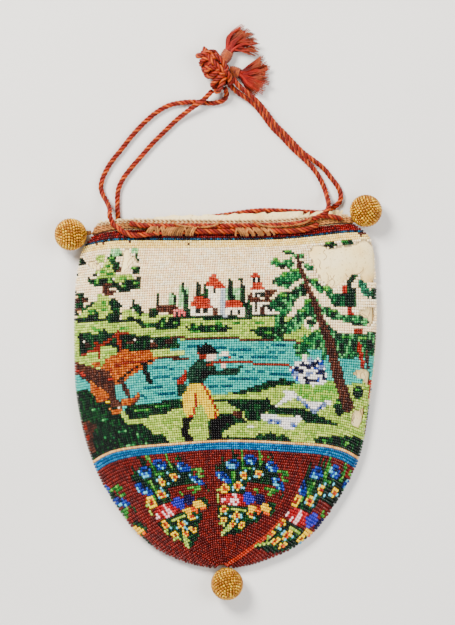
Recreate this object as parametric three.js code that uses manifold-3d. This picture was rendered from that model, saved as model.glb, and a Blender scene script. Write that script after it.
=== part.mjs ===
// A drawstring pouch knitted in the round from glass seed beads, lying on its back with its mouth towards +Y.
// Millimetres, +Z up. The underside rests on z = 0.
// The origin lies under the middle of the pouch and its balls.
import * as THREE from "three";
import { mergeVertices } from "three/addons/utils/BufferGeometryUtils.js";
import Module from "manifold-3d";

const wasm = await Module();
wasm.setup();

// Driving dimensions
const SHELL_WALL = 1.0; // bead fabric
const LINING_WALL = 1.0; // cotton cloth
const HEADING_WALL = 1.0; // crocheted heading round the mouth
const GAP = 0.3; // between pieces that touch
const LINING_GAP = 0.4;
const RUN_GAP = 0.5; // under the cords that lie on the heading
const CORD_DIAMETER = 2.8;
const BALL_RADIUS = 8.25;
const SHANK_RADIUS = 1.5; // thread that sews a ball on
const RIB_HEIGHT = 0.6; // raised line where two wedges of the base meet

// The pouch's form, a line for each of its main rows of knitting, counted down from the rim.
// A row runs from the left fold over the front to the right fold and back underneath.
// Lifts say how far the middle of the row lies above its folds in y. On the front, skew raises the row's
// left half and lowers its right half, and shoulder raises it beside both folds.
// Crown, fold and base are heights.
const ROW_COLUMNS = ["row", "leftX", "leftY", "rightX", "rightY", "frontLift", "backLift", "skew",
  "shoulder", "crown", "fold", "base"];
const ROWS = [
  [-5.2, -61.5, 86.6, 63.4, 91.2, -0.6, 2.1, 2.5, 7, 14, 6, 3.4],
  [0, -64.6, 81.2, 67.5, 87.4, -1.1, 0.7, 4, 10, 14, 6, 3.4],
  [5, -69.2, 75, 73.9, 82.3, -1.4, 0.5, 3, 8, 15, 5.5, 2.2],
  [10, -71.2, 68.6, 77.5, 75.8, -0.8, 0, 2, 6, 16, 5, 1],
  [20, -73.1, 55.8, 78.4, 61.8, 0.6, 0.6, 0.8, 2, 18, 4.3, 0],
  [40, -73.7, 30.6, 79, 34, 2.9, 2.6, 0, 0, 20, 4, 0],
  [65, -72.1, -2.4, 75.8, 0.4, 6.3, 5, 0, 4, 20, 4, 0],
  [90, -63, -36.2, 68.7, -34.4, 10.9, 9, 0, 17, 17.5, 4, 0],
  [110, -50, -58.8, 55.2, -58.6, 9.6, 9.3, 0, 3, 13, 4, 0],
  [120, -39.4, -71, 44.5, -71, 9.5, 9.5, 0, 0, 11, 4, 0],
  [130, -24, -81.3, 27.2, -81.3, 7.5, 7.5, 0, 0, 9, 4, 0.2],
  [137, -9, -85.4, 11, -85.4, 3.6, 3.6, 0, 0, 7, 3.8, 1.2],
  [140, 1, -86.4, 1, -86.4, 0, 0, 0, 0, 3.8, 3.8, 3.8],
].map((values) => Object.fromEntries(values.map((value, i) => [ROW_COLUMNS[i], value])));
const MIDDLE_SHIFT = 0.9; // sets the origin midway between the two balls at the mouth
const MOUTH_ROW = -5.2;
const STRIPE_ROW = 90; // where the base's six wedges begin
const POLE_ROW = 140;
const CAVITY_END_ROW = 133;

// Shape of a row across the pouch, with s from -1 at the left fold to 1 at the right one
const CROWN_POWER = 2.5;
const CROWN_ROUNDING = 0.6;
const FLAT_HALF = 0.8; // share of the underside that lies flat
const FOLD_INSET = 1.8; // the walls are this much thicker along the folds, where they are pressed together
const RIB_SPOTS = [-0.8, -0.09, 0.68];
const STATIONS = [-1, -0.985, -0.95, -0.89, RIB_SPOTS[0], -0.62, -0.42, -0.25, RIB_SPOTS[1],
  0.08, 0.25, 0.42, 0.56, RIB_SPOTS[2], 0.83, 0.93, 0.985, 1];
const SHELL_ROWS = [0, 5, 10, 15, 20, 30, 40, 52, 65, 78, 90, 97, 104, 110, 115, 120, 125, 130, 134,
  137, 139];
const LINING_ROWS = [-4.8, 0, 6, 12, 20, 40, 65, 90, 104, 115, 125];
const HEADING_ROWS = [MOUTH_ROW, -2.8, -0.4];

// Places where beads are lost and the lining shows, as outlines on the front
const LOSSES = [
  {
    place: "shoulder",
    outline: [[46, 76], [51, 76.3], [54.5, 73.8], [57.5, 75], [61, 76], [65, 75.8], [68, 77.5], [72, 79],
      [80, 76], [80, 58], [74, 57], [71, 58.5], [69, 62], [66, 61.5], [63, 59], [60, 56.5], [57, 54],
      [54, 55.5], [51, 58], [48, 62.5], [46, 67], [44, 71]],
  },
  {
    place: "side_high",
    outline: [[69, 41.5], [70, 43.5], [73, 44.6], [77, 45], [77.3, 40], [76.5, 36.3], [74.8, 36],
      [73.4, 39.8]],
  },
  {
    place: "side",
    outline: [[66.3, 12], [67.5, 13.8], [72.9, 14.6], [74.8, 13.2], [75.2, 10.8], [74.4, 6], [72.9, 6.2],
      [71.7, 8.4], [69, 9.6]],
  },
  {
    place: "side_low",
    outline: [[65, -12.6], [65.8, -9], [67, -6.5], [69.5, -6.6], [72.4, -3.4], [72.2, -8], [71.6, -11.4],
      [69.1, -16], [67, -15]],
  },
  { place: "leaf", outline: [[-66, 67.5], [-63, 68], [-60, 66.5], [-58.5, 64.5], [-61, 63.5], [-65, 64.5]] },
  {
    place: "tree_top",
    outline: [[-49, 73.5], [-45.5, 74.5], [-44.5, 71], [-41, 69.5], [-41, 66.5], [-45, 65], [-45.5, 62],
      [-49, 62.5], [-48.5, 68]],
  },
];
const LOSS_FLOOR = 5;
const LOSS_TOP = 30;

// Crocheted bars that start at the heading's edge and hook over the cords on the front
const BAR_SPOTS = [-0.37, -0.09, 0.27, 0.6];
const BAR_WIDTH = 2.4;
const BAR_WALL = 0.6;
const BAR_HEAD_ROW = MOUTH_ROW - 0.2;
const BAR_END_ROW = 2.8;

// Balls sewn to the two corners of the mouth and to the foot, each with the point that its shank reaches
const BALLS = [
  { name: "ball_left", x: -74.8, y: 81.6, sewnTo: [-64.8, 82.4, 6] },
  { name: "ball_right", x: 73, y: 93.4, sewnTo: [65.6, 88.8, 6] },
  { name: "ball_foot", x: 3.5, y: -93.4, sewnTo: [1.2, -86, 4] },
];

// Cords in the heading: s and row of the points that they pass
const RUNS = [
  {
    name: "cord_front_upper", side: 1,
    points: [[-0.72, -3.4], [-0.4, -3], [0, -3], [0.4, -2.9], [0.6, -2.7], [0.71, -3.6], [0.78, -4.9]],
  },
  {
    name: "cord_front_lower", side: 1,
    points: [[-0.865, -4.4], [-0.845, -2.8], [-0.78, -0.5], [-0.7, 0.5], [-0.62, 0.5], [-0.5, 0.4],
      [-0.3, 0.4], [0, 0.3], [0.45, 0.4], [0.58, 0.6], [0.66, 0.6], [0.72, 0.3]],
  },
  {
    name: "cord_back_upper", side: -1,
    points: [[-0.64, -4], [-0.3, -4.2], [0, -4.8], [0.3, -6.2], [0.6, -6.4], [0.82, -6.4]],
  },
  {
    name: "cord_back_lower", side: -1,
    points: [[-0.83, -4], [-0.8, -2.2], [-0.7, -1.1], [-0.4, -0.8], [0, -0.8], [0.4, -0.8], [0.86, -0.8]],
  },
];

// Free cords, from the heading up to the knot
const STRANDS = [
  {
    name: "cord_left_outer", from: ["cord_front_lower", 0],
    points: [[-55, 90.6, 12.3], [-55.1, 94.2, 9.2], [-56.8, 98.2, 4.8], [-59, 102, 2.2], [-59.9, 106, 1.6],
      [-58.4, 111.5, 1.6], [-55, 117.7, 1.6], [-50, 124, 1.6], [-44.2, 131.4, 1.6], [-37.6, 138.4, 1.6],
      [-31, 143.8, 1.6], [-25.2, 146.8, 1.6], [-19.4, 148, 1.6], [-13.6, 148.4, 1.6], [-8.6, 148, 1.6],
      [-3, 147.8, 1.6], [1.4, 149, 1.8], [3.2, 151.4, 3.4], [2.4, 155.2, 6.2]],
  },
  {
    name: "cord_left_inner", from: ["cord_back_lower", 0],
    points: [[-51.4, 91.4, 1.7], [-51.6, 97.4, 1.6], [-51.2, 104, 1.6], [-49.2, 109, 1.6], [-45, 114.8, 1.6],
      [-40, 120.6, 1.6], [-34.2, 127.2, 1.6], [-27.6, 133.8, 1.6], [-21, 140, 1.8], [-14.4, 145, 3.8],
      [-8.6, 149, 5], [-4.4, 153.2, 5.7], [-3.9, 153.7, 5.9]],
  },
  {
    name: "cord_right_inner", from: ["cord_front_upper", 6],
    points: [[53.2, 92.8, 12.8], [54.4, 96, 9.8], [54, 99.6, 4.6], [53, 103.6, 1.8], [49.8, 110.6, 1.6],
      [46.2, 115.6, 1.6], [41.2, 120.6, 1.6], [36.2, 125.2, 1.6], [31.2, 130.6, 1.6], [26.2, 135.6, 1.6],
      [22, 141.2, 1.6], [18, 146.2, 1.8], [13, 150.4, 2.6], [8.6, 153.2, 3.4], [3.7, 158, 4.7]],
  },
  {
    name: "cord_right_outer", from: ["cord_back_upper", 5],
    points: [[57.4, 95.6, 1.6], [60.2, 98.4, 1.6], [60.6, 102, 1.6], [59.4, 105.4, 1.6], [56, 110, 1.6],
      [52, 115, 1.9], [47, 118.9, 3.4], [42, 122.5, 4.2], [37.6, 126.8, 4.2], [32.6, 132.2, 4.2],
      [27.6, 137.2, 4.2], [23.2, 143, 4.2], [18.8, 148.2, 4.8], [13.6, 152.6, 6], [9.4, 156, 7],
      [6.3, 159.9, 7.9]],
  },
];
const CORD_SIDES = 8;
const CORD_STEP = 7.5; // mm along the cord

// The knot that gathers the four strands: a core with cord wound round it
const KNOT = { foot: [1.6, 156], head: [-8.4, 174.6], height: 6.2, halfWidth: 4.6 };
const KNOT_WRAPS = [
  { along: 0.12, radius: 4.5, tilt: 0.35 },
  { along: 0.36, radius: 4.7, tilt: -0.3 },
  { along: 0.62, radius: 4.6, tilt: 0.25 },
  { along: 0.86, radius: 3.9, tilt: -0.2 },
];

// Frayed cord ends: a bound head and locks that fan out between two directions, in degrees from +X
const TASSELS = [
  {
    name: "tassel_upper", x: 2.2, y: 169.6, heading: 62, fanFrom: 70, fanTo: 12, bend: -34,
    locks: 7, reach: 19,
  },
  {
    name: "tassel_lower", x: 5.2, y: 163.6, heading: -12, fanFrom: 14, fanTo: -52, bend: 18,
    locks: 7, reach: 18,
  },
];
const TASSEL_HEIGHT = 3.4;
const HEAD_RADIUS = 2.3;
const HEAD_LENGTH = 4.6;
const LOCK_RADIUS = 1.15;

// Materials
const material = (color, roughness, metalness = 0) =>
  new THREE.MeshStandardMaterial({ color, roughness, metalness });
const BEADS = material(0x7d8f6a, 0.3);
const COTTON = material(0xe9dcc0, 0.9);
const CROCHET = material(0xb08c5a, 0.85);
const GOLD = material(0xd9a441, 0.35, 0.8);
const SILK = material(0xc5532f, 0.6);

// Smooth value of one column of ROWS at any row
function column(name, row) {
  const last = ROWS.length - 1;
  let k = ROWS.findIndex((r, i) => i < last && row <= ROWS[i + 1].row);
  if (k < 0) k = last - 1;
  const slope = (i) => {
    const a = ROWS[Math.max(i - 1, 0)];
    const b = ROWS[Math.min(i + 1, last)];
    return (b[name] - a[name]) / (b.row - a.row);
  };
  const [a, b] = [ROWS[k], ROWS[k + 1]];
  if (row < ROWS[0].row) return a[name] + slope(0) * (row - a.row);
  const span = b.row - a.row;
  const t = (row - a.row) / span;
  const bend = (slope(k) * (1 - t) - slope(k + 1) * t) * span * t * (1 - t);
  return a[name] + (b[name] - a[name]) * t * t * (3 - 2 * t) + bend;
}

// Where a fold lies, moved inwards by an inset at right angles to the pouch's outline
function foldPoint(side, row, inset) {
  const [x, y] = [side + "X", side + "Y"];
  const step = 0.5;
  const [above, below] = [Math.max(row - step, MOUTH_ROW), Math.min(row + step, POLE_ROW)];
  const [dx, dy] = [column(x, below) - column(x, above), column(y, below) - column(y, above)];
  const along = new THREE.Vector2(dx, dy).normalize();
  const inward = side === "left" ? [-along.y, along.x] : [along.y, -along.x];
  return [column(x, row) + inward[0] * inset, column(y, row) + inward[1] * inset];
}

// A point of the pouch's wall: side is 1 on the front and -1 on the back, and inset is the depth below
// the outer surface
function wallPoint(s, row, side, inset = 0) {
  const [leftX, leftY] = foldPoint("left", row, inset * FOLD_INSET);
  const [rightX, rightY] = foldPoint("right", row, inset * FOLD_INSET);
  const closing = THREE.MathUtils.clamp((row - STRIPE_ROW) / (POLE_ROW - STRIPE_ROW), 0, 1) ** 2;
  const outerMean = (column("leftY", row) + column("rightY", row)) / 2;
  const lift = column(side > 0 ? "frontLift" : "backLift", row) + outerMean + inset * FOLD_INSET * closing
    - (leftY + rightY) / 2;
  const share = (s + 1) / 2;
  const x = leftX + (rightX - leftX) * share;
  const y = leftY + (rightY - leftY) * share + lift * (1 - s * s);
  const fold = column("fold", row);
  if (side > 0) {
    const arch = (1 - Math.abs(s) ** CROWN_POWER) ** CROWN_ROUNDING;
    const bend = column("skew", row) * (s ** 3 - s) + column("shoulder", row) * s ** 4 * (1 - s * s);
    const z = fold + (column("crown", row) - inset - fold) * arch + ribAt(s, row);
    return new THREE.Vector3(x, y + bend, z);
  }
  const base = Math.max(column("base", row), 0) + inset;
  const edge = THREE.MathUtils.clamp((Math.abs(s) - FLAT_HALF) / (1 - FLAT_HALF), 0, 1);
  return new THREE.Vector3(x, y, base + (fold - base) * (1 - Math.sqrt(1 - edge * edge)));
}

// The base's raised lines fade in below the stripe and out at the foot
function ribAt(s, row) {
  const onRib = RIB_SPOTS.includes(s) && row > STRIPE_ROW && row < CAVITY_END_ROW;
  return onRib ? RIB_HEIGHT : 0;
}

// One closed ring of wall points: over the front to the right fold, then back underneath
function ring(row, inset) {
  const over = STATIONS.map((s) => wallPoint(s, row, 1, inset));
  const under = STATIONS.slice(1, -1).reverse().map((s) => wallPoint(s, row, -1, inset));
  return [...over, ...under];
}

// A closed wall between an outer and an inner stack of rings. A stack may end in a single point.
function wallSolid(outer, inner, outerEnd, innerEnd) {
  const points = [];
  const faces = [];
  const addStack = (rings) => rings.map((points3) => points3.map((p) => points.push(p) - 1));
  const band = (a, b) => a.forEach((_, i) => {
    const j = (i + 1) % a.length;
    faces.push(a[i], b[i], a[j], a[j], b[i], b[j]);
  });
  const closeWith = (rim, end) => {
    const tip = points.push(end) - 1;
    rim.forEach((_, i) => faces.push(rim[i], tip, rim[(i + 1) % rim.length]));
  };
  const skin = addStack(outer);
  const hollow = addStack(inner).map((loop) => loop.reverse());
  skin.slice(1).forEach((loop, i) => band(skin[i], loop));
  hollow.slice(1).forEach((loop, i) => band(hollow[i], loop));
  band([...hollow[0]].reverse(), skin[0]);
  if (outerEnd) closeWith(skin.at(-1), outerEnd);
  if (innerEnd) closeWith(hollow.at(-1), innerEnd);
  if (!outerEnd) band(skin.at(-1), [...hollow.at(-1)].reverse());
  const geometry = new THREE.BufferGeometry().setFromPoints(points);
  geometry.setIndex(faces);
  return geometry;
}

const middleOf = (loop) => loop.reduce((sum, p) => sum.add(p), new THREE.Vector3()).divideScalar(loop.length);

// Joins and cuts
function solid(geometry) {
  const bare = geometry.clone();
  bare.deleteAttribute("normal");
  bare.deleteAttribute("uv");
  const merged = mergeVertices(bare, 1e-4);
  const { array } = merged.attributes.position;
  return new wasm.Manifold(
    new wasm.Mesh({ numProp: 3, vertProperties: array, triVerts: new Uint32Array(merged.index.array) }));
}

function geometryOf(made) {
  const mesh = made.getMesh();
  const geometry = new THREE.BufferGeometry();
  geometry.setAttribute("position", new THREE.BufferAttribute(mesh.vertProperties, 3));
  geometry.setIndex(new THREE.BufferAttribute(mesh.triVerts, 1));
  return geometry;
}

const fused = (geometries) => geometryOf(geometries.map(solid).reduce((a, b) => a.add(b)));

// A tube of even thickness along points
function tube(points, radius, sides, step) {
  const curve = new THREE.CatmullRomCurve3(points);
  const section = new THREE.Shape(Array.from({ length: sides }, (_, i) => {
    const angle = (2 * Math.PI * i) / sides;
    return new THREE.Vector2(radius * Math.cos(angle), radius * Math.sin(angle));
  }));
  const steps = Math.max(3, Math.round(curve.getLength() / step));
  return new THREE.ExtrudeGeometry(section, { steps, extrudePath: curve, bevelEnabled: false });
}

// Bead fabric: one knitted bag with its foot drawn together, and the places where beads are lost
function shellGeometry() {
  const outer = SHELL_ROWS.map((row) => ring(row, 0));
  const inner = SHELL_ROWS.filter((row) => row < CAVITY_END_ROW + 1).map((row) => ring(row, SHELL_WALL));
  const pole = wallPoint(0, POLE_ROW, -1);
  const bag = solid(wallSolid(outer, inner, pole, middleOf(inner.at(-1))));
  const cuts = LOSSES.map(({ outline }) => {
    const shape = new THREE.Shape(outline.map(([x, y]) => new THREE.Vector2(x, y)));
    const prism = new THREE.ExtrudeGeometry(shape, { depth: LOSS_TOP - LOSS_FLOOR, bevelEnabled: false });
    return solid(prism.translate(0, 0, LOSS_FLOOR));
  });
  return geometryOf(cuts.reduce((cut, prism) => cut.subtract(prism), bag));
}

function liningGeometry() {
  const depth = SHELL_WALL + LINING_GAP;
  const outer = LINING_ROWS.map((row) => ring(row, depth));
  const inner = LINING_ROWS.map((row) => ring(row, depth + LINING_WALL));
  const end = ring(CAVITY_END_ROW - 2, depth + LINING_WALL / 2);
  const [outerEnd, innerEnd] = [middleOf(end), middleOf(inner.at(-1))];
  return wallSolid(outer, inner, outerEnd, innerEnd);
}

// Crocheted heading: a band round the mouth with bars that hold the cords
function headingGeometry() {
  const band = wallSolid(
    HEADING_ROWS.map((row) => ring(row, 0)), HEADING_ROWS.map((row) => ring(row, HEADING_WALL)));
  return fused([band, ...BAR_SPOTS.map(barGeometry)]);
}

// The outer surface's own directions at a point of the front: along the row, towards the mouth, and outwards
function frameOnFront(s, row) {
  const step = 0.02;
  const along = wallPoint(s + step, row, 1).sub(wallPoint(s - step, row, 1)).normalize();
  const up = wallPoint(s, row - step, 1).sub(wallPoint(s, row + step, 1)).normalize();
  const out = new THREE.Vector3().crossVectors(along, up).normalize();
  return { along, up: up.crossVectors(out, along), out };
}

function barGeometry(s) {
  const [head, end] = [BAR_HEAD_ROW, BAR_END_ROW].map((row) => wallPoint(s, row, 1));
  const half = head.distanceTo(end) / 2;
  const room = CORD_DIAMETER + 2 * RUN_GAP;
  const [top, root, tip] = [room + BAR_WALL, -HEADING_WALL / 2, 2 * RUN_GAP];
  const inside = half - BAR_WALL;
  const profile = [[inside, root], [half, root], [half, room - BAR_WALL], [inside, top], [-inside, top],
    [-half, room - BAR_WALL], [-half, tip], [-inside, tip], [-inside, room], [inside, room]];
  const hook = new THREE.Shape(profile.map(([up, out]) => new THREE.Vector2(up, out)));
  const bar = new THREE.ExtrudeGeometry(hook, { depth: BAR_WIDTH, bevelEnabled: false });
  bar.translate(0, 0, -BAR_WIDTH / 2);
  const up = head.clone().sub(end).normalize();
  const out = new THREE.Vector3().crossVectors(frameOnFront(s, MOUTH_ROW / 2).along, up).normalize();
  const place = new THREE.Matrix4().makeBasis(up, out, new THREE.Vector3().crossVectors(up, out));
  return bar.applyMatrix4(place.setPosition(head.lerp(end, 0.5)));
}

// A ball of gold beads over a core, with the shank of thread that sews it on
function ballGeometry({ x, y, sewnTo }) {
  const centre = new THREE.Vector3(x, y, BALL_RADIUS);
  const ball = new THREE.SphereGeometry(BALL_RADIUS, 20, 12).rotateX(Math.PI / 2);
  const way = new THREE.Vector3(...sewnTo).sub(centre);
  const reach = way.length() - SHANK_RADIUS;
  const shank = new THREE.CylinderGeometry(SHANK_RADIUS * 0.8, SHANK_RADIUS, reach, 8);
  const turn = new THREE.Quaternion().setFromUnitVectors(new THREE.Vector3(0, 1, 0), way.normalize());
  shank.translate(0, reach / 2, 0).applyQuaternion(turn);
  return fused([ball, shank]).translate(...centre.toArray());
}

// The points of a cord's run over the heading, on the outer surface
function runPoints({ side, points }) {
  return points.map(([s, row]) => {
    const on = wallPoint(s, row, side);
    const out = side > 0 ? frameOnFront(s, row).out : new THREE.Vector3(0, 0, -1);
    return on.addScaledVector(out, CORD_DIAMETER / 2 + RUN_GAP);
  });
}

function strandPoints({ from: [run, index], points }) {
  const own = points.map((p) => new THREE.Vector3(...p));
  const start = runPoints(RUNS.find((r) => r.name === run))[index];
  const next = own[0].clone().sub(start).normalize();
  return [start.addScaledVector(next, 3 * GAP), ...own];
}

const cordTube = (points) => tube(points, CORD_DIAMETER / 2, CORD_SIDES, CORD_STEP);

function knotGeometry() {
  const [foot, head] = [KNOT.foot, KNOT.head].map(([x, y]) => new THREE.Vector3(x, y, KNOT.height));
  const axis = head.clone().sub(foot);
  const up = new THREE.Vector3(0, 0, 1);
  const turn = new THREE.Quaternion().setFromUnitVectors(up, axis.clone().normalize());
  const core = new THREE.SphereGeometry(1, 12, 8).scale(KNOT.halfWidth, axis.length() / 2, KNOT.halfWidth)
    .rotateX(Math.PI / 2).applyQuaternion(turn).translate(...foot.clone().lerp(head, 0.5).toArray());
  const wraps = KNOT_WRAPS.map(({ along, radius, tilt }) =>
    new THREE.TorusGeometry(radius, CORD_DIAMETER / 2, 8, 14).rotateX(tilt).applyQuaternion(turn)
      .translate(...foot.clone().lerp(head, along).toArray()));
  return fused([core, ...wraps]);
}

// A frayed end: locks of silk that leave a bound head, fan out and bend on the surface
function tasselGeometry({ x, y, heading, fanFrom, fanTo, bend, locks, reach }) {
  const towards = (degrees) => {
    const angle = THREE.MathUtils.degToRad(degrees);
    return new THREE.Vector3(Math.cos(angle), Math.sin(angle), 0);
  };
  const start = new THREE.Vector3(x, y, TASSEL_HEIGHT);
  const neck = start.clone().addScaledVector(towards(heading), HEAD_LENGTH);
  const head = tube([start, start.clone().lerp(neck, 0.5), neck], HEAD_RADIUS, CORD_SIDES, HEAD_LENGTH / 3);
  const made = Array.from({ length: locks }, (_, i) => {
    const share = i / (locks - 1);
    const way = fanFrom + (fanTo - fanFrom) * share;
    const fall = THREE.MathUtils.lerp(LOCK_RADIUS + 0.2, TASSEL_HEIGHT + 1.6, i % 2);
    const root = start.clone().addScaledVector(towards(heading), HEAD_LENGTH * 0.7);
    const spread = neck.clone().addScaledVector(towards(way), reach * 0.4).setZ((TASSEL_HEIGHT + fall) / 2);
    const tip = spread.clone().addScaledVector(towards(way + bend), reach * 0.45).setZ(fall);
    return tube([root, neck, spread, tip], LOCK_RADIUS, 6, reach / 4);
  });
  return fused([head, ...made]);
}

const pouch = new THREE.Group();

function add(name, geometry, finish) {
  geometry.translate(MIDDLE_SHIFT, 0, 0).computeVertexNormals();
  const mesh = new THREE.Mesh(geometry, finish);
  mesh.name = name;
  pouch.add(mesh);
}

add("bead_shell", shellGeometry(), BEADS);
add("lining", liningGeometry(), COTTON);
add("heading", headingGeometry(), CROCHET);
for (const ball of BALLS) add(ball.name, ballGeometry(ball), GOLD);
for (const run of RUNS) add(run.name, cordTube(runPoints(run)), SILK);
for (const strand of STRANDS) add(strand.name, cordTube(strandPoints(strand)), SILK);
add("knot", knotGeometry(), SILK);
for (const tassel of TASSELS) add(tassel.name, tasselGeometry(tassel), SILK);

export default pouch;
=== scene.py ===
import math

import bpy
import numpy as np
from mathutils.kdtree import KDTree
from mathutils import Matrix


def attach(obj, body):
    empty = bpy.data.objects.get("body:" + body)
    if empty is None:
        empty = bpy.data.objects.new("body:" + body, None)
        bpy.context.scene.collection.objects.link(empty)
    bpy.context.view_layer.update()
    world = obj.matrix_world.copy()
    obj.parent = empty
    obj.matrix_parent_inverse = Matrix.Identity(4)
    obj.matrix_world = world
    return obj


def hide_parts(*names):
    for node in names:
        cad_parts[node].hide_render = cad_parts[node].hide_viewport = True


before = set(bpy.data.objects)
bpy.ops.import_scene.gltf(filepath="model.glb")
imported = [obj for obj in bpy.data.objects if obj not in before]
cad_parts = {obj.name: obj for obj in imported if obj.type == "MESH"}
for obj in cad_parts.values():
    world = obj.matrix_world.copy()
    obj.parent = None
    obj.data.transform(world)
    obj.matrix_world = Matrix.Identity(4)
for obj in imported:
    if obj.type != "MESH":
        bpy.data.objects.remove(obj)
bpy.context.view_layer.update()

MM = 0.001
RNG = np.random.default_rng(7)
FRAME_SHIFT = np.array((0.9, 0.0, 0.0))  # from the middle of the form's own measures to the part's origin
UP = np.array((0.0, 0.0, 1.0))
SIDEWAYS = np.array((1.0, 0.0, 0.0))
TINY = 1e-9  # keeps divisions from failing


def unit(vectors):
    return vectors / (np.linalg.norm(vectors, axis=-1, keepdims=True) + TINY)


def between(low, high):
    """A random number from low to high."""
    return low + (high - low) * RNG.random()


# Camera straight above the pouch, framed as the photograph is

VIEW_CENTRE = (3.75, 42.5)
VIEW_HEIGHT = 312.5
CAMERA_RISE = 1500.0
CAMERA_SIGHT = 20000.0
PICTURE_PLANE = 10.0
SENSOR = 36.0

camera_data = bpy.data.cameras.new("camera")
camera_data.sensor_width = SENSOR
camera_data.lens = SENSOR * CAMERA_RISE / VIEW_HEIGHT
camera_data.clip_end = CAMERA_SIGHT * MM
camera = bpy.data.objects.new("camera", camera_data)
camera.location = (np.array((*VIEW_CENTRE, CAMERA_RISE + PICTURE_PLANE)) + FRAME_SHIFT) * MM
bpy.context.scene.collection.objects.link(camera)
bpy.context.scene.camera = camera


# The pouch's form, in millimetres: the same rows of knitting as the solids have

ROW_COLUMNS = ("row", "left_x", "left_y", "right_x", "right_y", "front_lift", "back_lift", "skew", "shoulder",
               "crown", "fold", "base")
ROWS = np.array([
    (-5.2, -61.5, 86.6, 63.4, 91.2, -0.6, 2.1, 2.5, 7, 14, 6, 3.4),
    (0, -64.6, 81.2, 67.5, 87.4, -1.1, 0.7, 4, 10, 14, 6, 3.4),
    (5, -69.2, 75, 73.9, 82.3, -1.4, 0.5, 3, 8, 15, 5.5, 2.2),
    (10, -71.2, 68.6, 77.5, 75.8, -0.8, 0, 2, 6, 16, 5, 1),
    (20, -73.1, 55.8, 78.4, 61.8, 0.6, 0.6, 0.8, 2, 18, 4.3, 0),
    (40, -73.7, 30.6, 79, 34, 2.9, 2.6, 0, 0, 20, 4, 0),
    (65, -72.1, -2.4, 75.8, 0.4, 6.3, 5, 0, 4, 20, 4, 0),
    (90, -63, -36.2, 68.7, -34.4, 10.9, 9, 0, 17, 17.5, 4, 0),
    (110, -45.6, -64.4, 50.8, -64.4, 15.3, 15.3, 0, 3, 13, 4, 0),
    (120, -32.6, -76.2, 36.8, -76.2, 14.7, 14.7, 0, 0, 11, 4, 0),
    (130, -16.6, -83.6, 19, -83.6, 9.8, 9.8, 0, 0, 9, 4, 0.2),
    (137, -6, -85.9, 8, -85.9, 4.1, 4.1, 0, 0, 7, 3.8, 1.2),
    (140, 1, -86.4, 1, -86.4, 0, 0, 0, 0, 3.8, 3.8, 3.8),
], dtype=float)
MOUTH_ROW = -5.2
WEDGE_ROW = 90
POLE_ROW = 140
CROWN_POWER = 2.5
CROWN_ROUNDING = 0.6
FLAT_HALF = 0.8
FOLD_INSET = 1.8
FRONT, BACK = 1, -1
HALF_ROW = 0.5
RING_SAMPLES = 481
TURN_STEP = 0.012  # turns and rows to each side of a place, for the wall's directions there
ROW_STEP = 0.4


def column(name, row):
    """A column of the form at any row, as a smooth curve through its values."""
    row = np.asarray(row, dtype=float)
    at = ROWS[:, 0]
    value = ROWS[:, ROW_COLUMNS.index(name)]
    before = np.maximum(np.arange(len(at)) - 1, 0)
    after = np.minimum(np.arange(len(at)) + 1, len(at) - 1)
    slope = (value[after] - value[before]) / (at[after] - at[before])
    k = np.clip(np.searchsorted(at, row, side="left") - 1, 0, len(at) - 2)
    span = at[k + 1] - at[k]
    t = (row - at[k]) / span
    bend = (slope[k] * (1 - t) - slope[k + 1] * t) * span * t * (1 - t)
    smooth = value[k] + (value[k + 1] - value[k]) * t * t * (3 - 2 * t) + bend
    return np.where(row < at[0], value[0] + slope[0] * (row - at[0]), smooth)


def fold_point(side, row, inset):
    """A point of the left or right fold, moved in from the edge."""
    above = np.maximum(row - HALF_ROW, MOUTH_ROW)
    below = np.minimum(row + HALF_ROW, POLE_ROW)
    dx = column(side + "_x", below) - column(side + "_x", above)
    dy = column(side + "_y", below) - column(side + "_y", above)
    size = np.maximum(np.hypot(dx, dy), TINY)
    turn = 1 if side == "left" else -1
    x = column(side + "_x", row) - turn * dy / size * inset
    y = column(side + "_y", row) + turn * dx / size * inset
    return x, y


def wall(s, row, side, inset=0.0):
    """A point of the pouch's wall: s runs from -1 at the left fold to 1 at the right one, and inset is the
    depth below the surface."""
    s = np.asarray(s, dtype=float)
    row = np.asarray(row, dtype=float)
    left_x, left_y = fold_point("left", row, inset * FOLD_INSET)
    right_x, right_y = fold_point("right", row, inset * FOLD_INSET)
    closing = np.clip((row - WEDGE_ROW) / (POLE_ROW - WEDGE_ROW), 0, 1) ** 2
    mean = (column("left_y", row) + column("right_y", row)) / 2
    lift = column("front_lift" if side > 0 else "back_lift", row) + mean
    lift = lift + inset * FOLD_INSET * closing - (left_y + right_y) / 2
    share = (s + 1) / 2
    x = left_x + (right_x - left_x) * share
    y = left_y + (right_y - left_y) * share + lift * (1 - s * s)
    fold = column("fold", row)
    if side > 0:
        arch = np.maximum(1 - np.abs(s) ** CROWN_POWER, 0) ** CROWN_ROUNDING
        y = y + column("skew", row) * (s ** 3 - s) + column("shoulder", row) * s ** 4 * (1 - s * s)
        z = fold + (column("crown", row) - inset - fold) * arch
    else:
        base = np.maximum(column("base", row), 0) + inset
        edge = np.clip((np.abs(s) - FLAT_HALF) / (1 - FLAT_HALF), 0, 1)
        z = base + (fold - base) * (1 - np.sqrt(1 - edge * edge))
    return np.stack(np.broadcast_arrays(x, y, z), axis=-1)


def round_wall(turn, row, inset=0.0):
    """A wall point by its turn: 0 to 1 over the front from the left fold, 1 to 2 back underneath."""
    turn = np.mod(turn, 2.0)
    over = wall(-np.cos(np.pi * turn), row, FRONT, inset)
    under = wall(np.cos(np.pi * (turn - 1)), row, BACK, inset)
    return np.where((turn <= 1)[..., None], over, under)


def run_length(points):
    """The length run along a path to each of its points."""
    return np.concatenate(([0], np.cumsum(np.linalg.norm(np.diff(points, axis=0), axis=1))))


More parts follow.
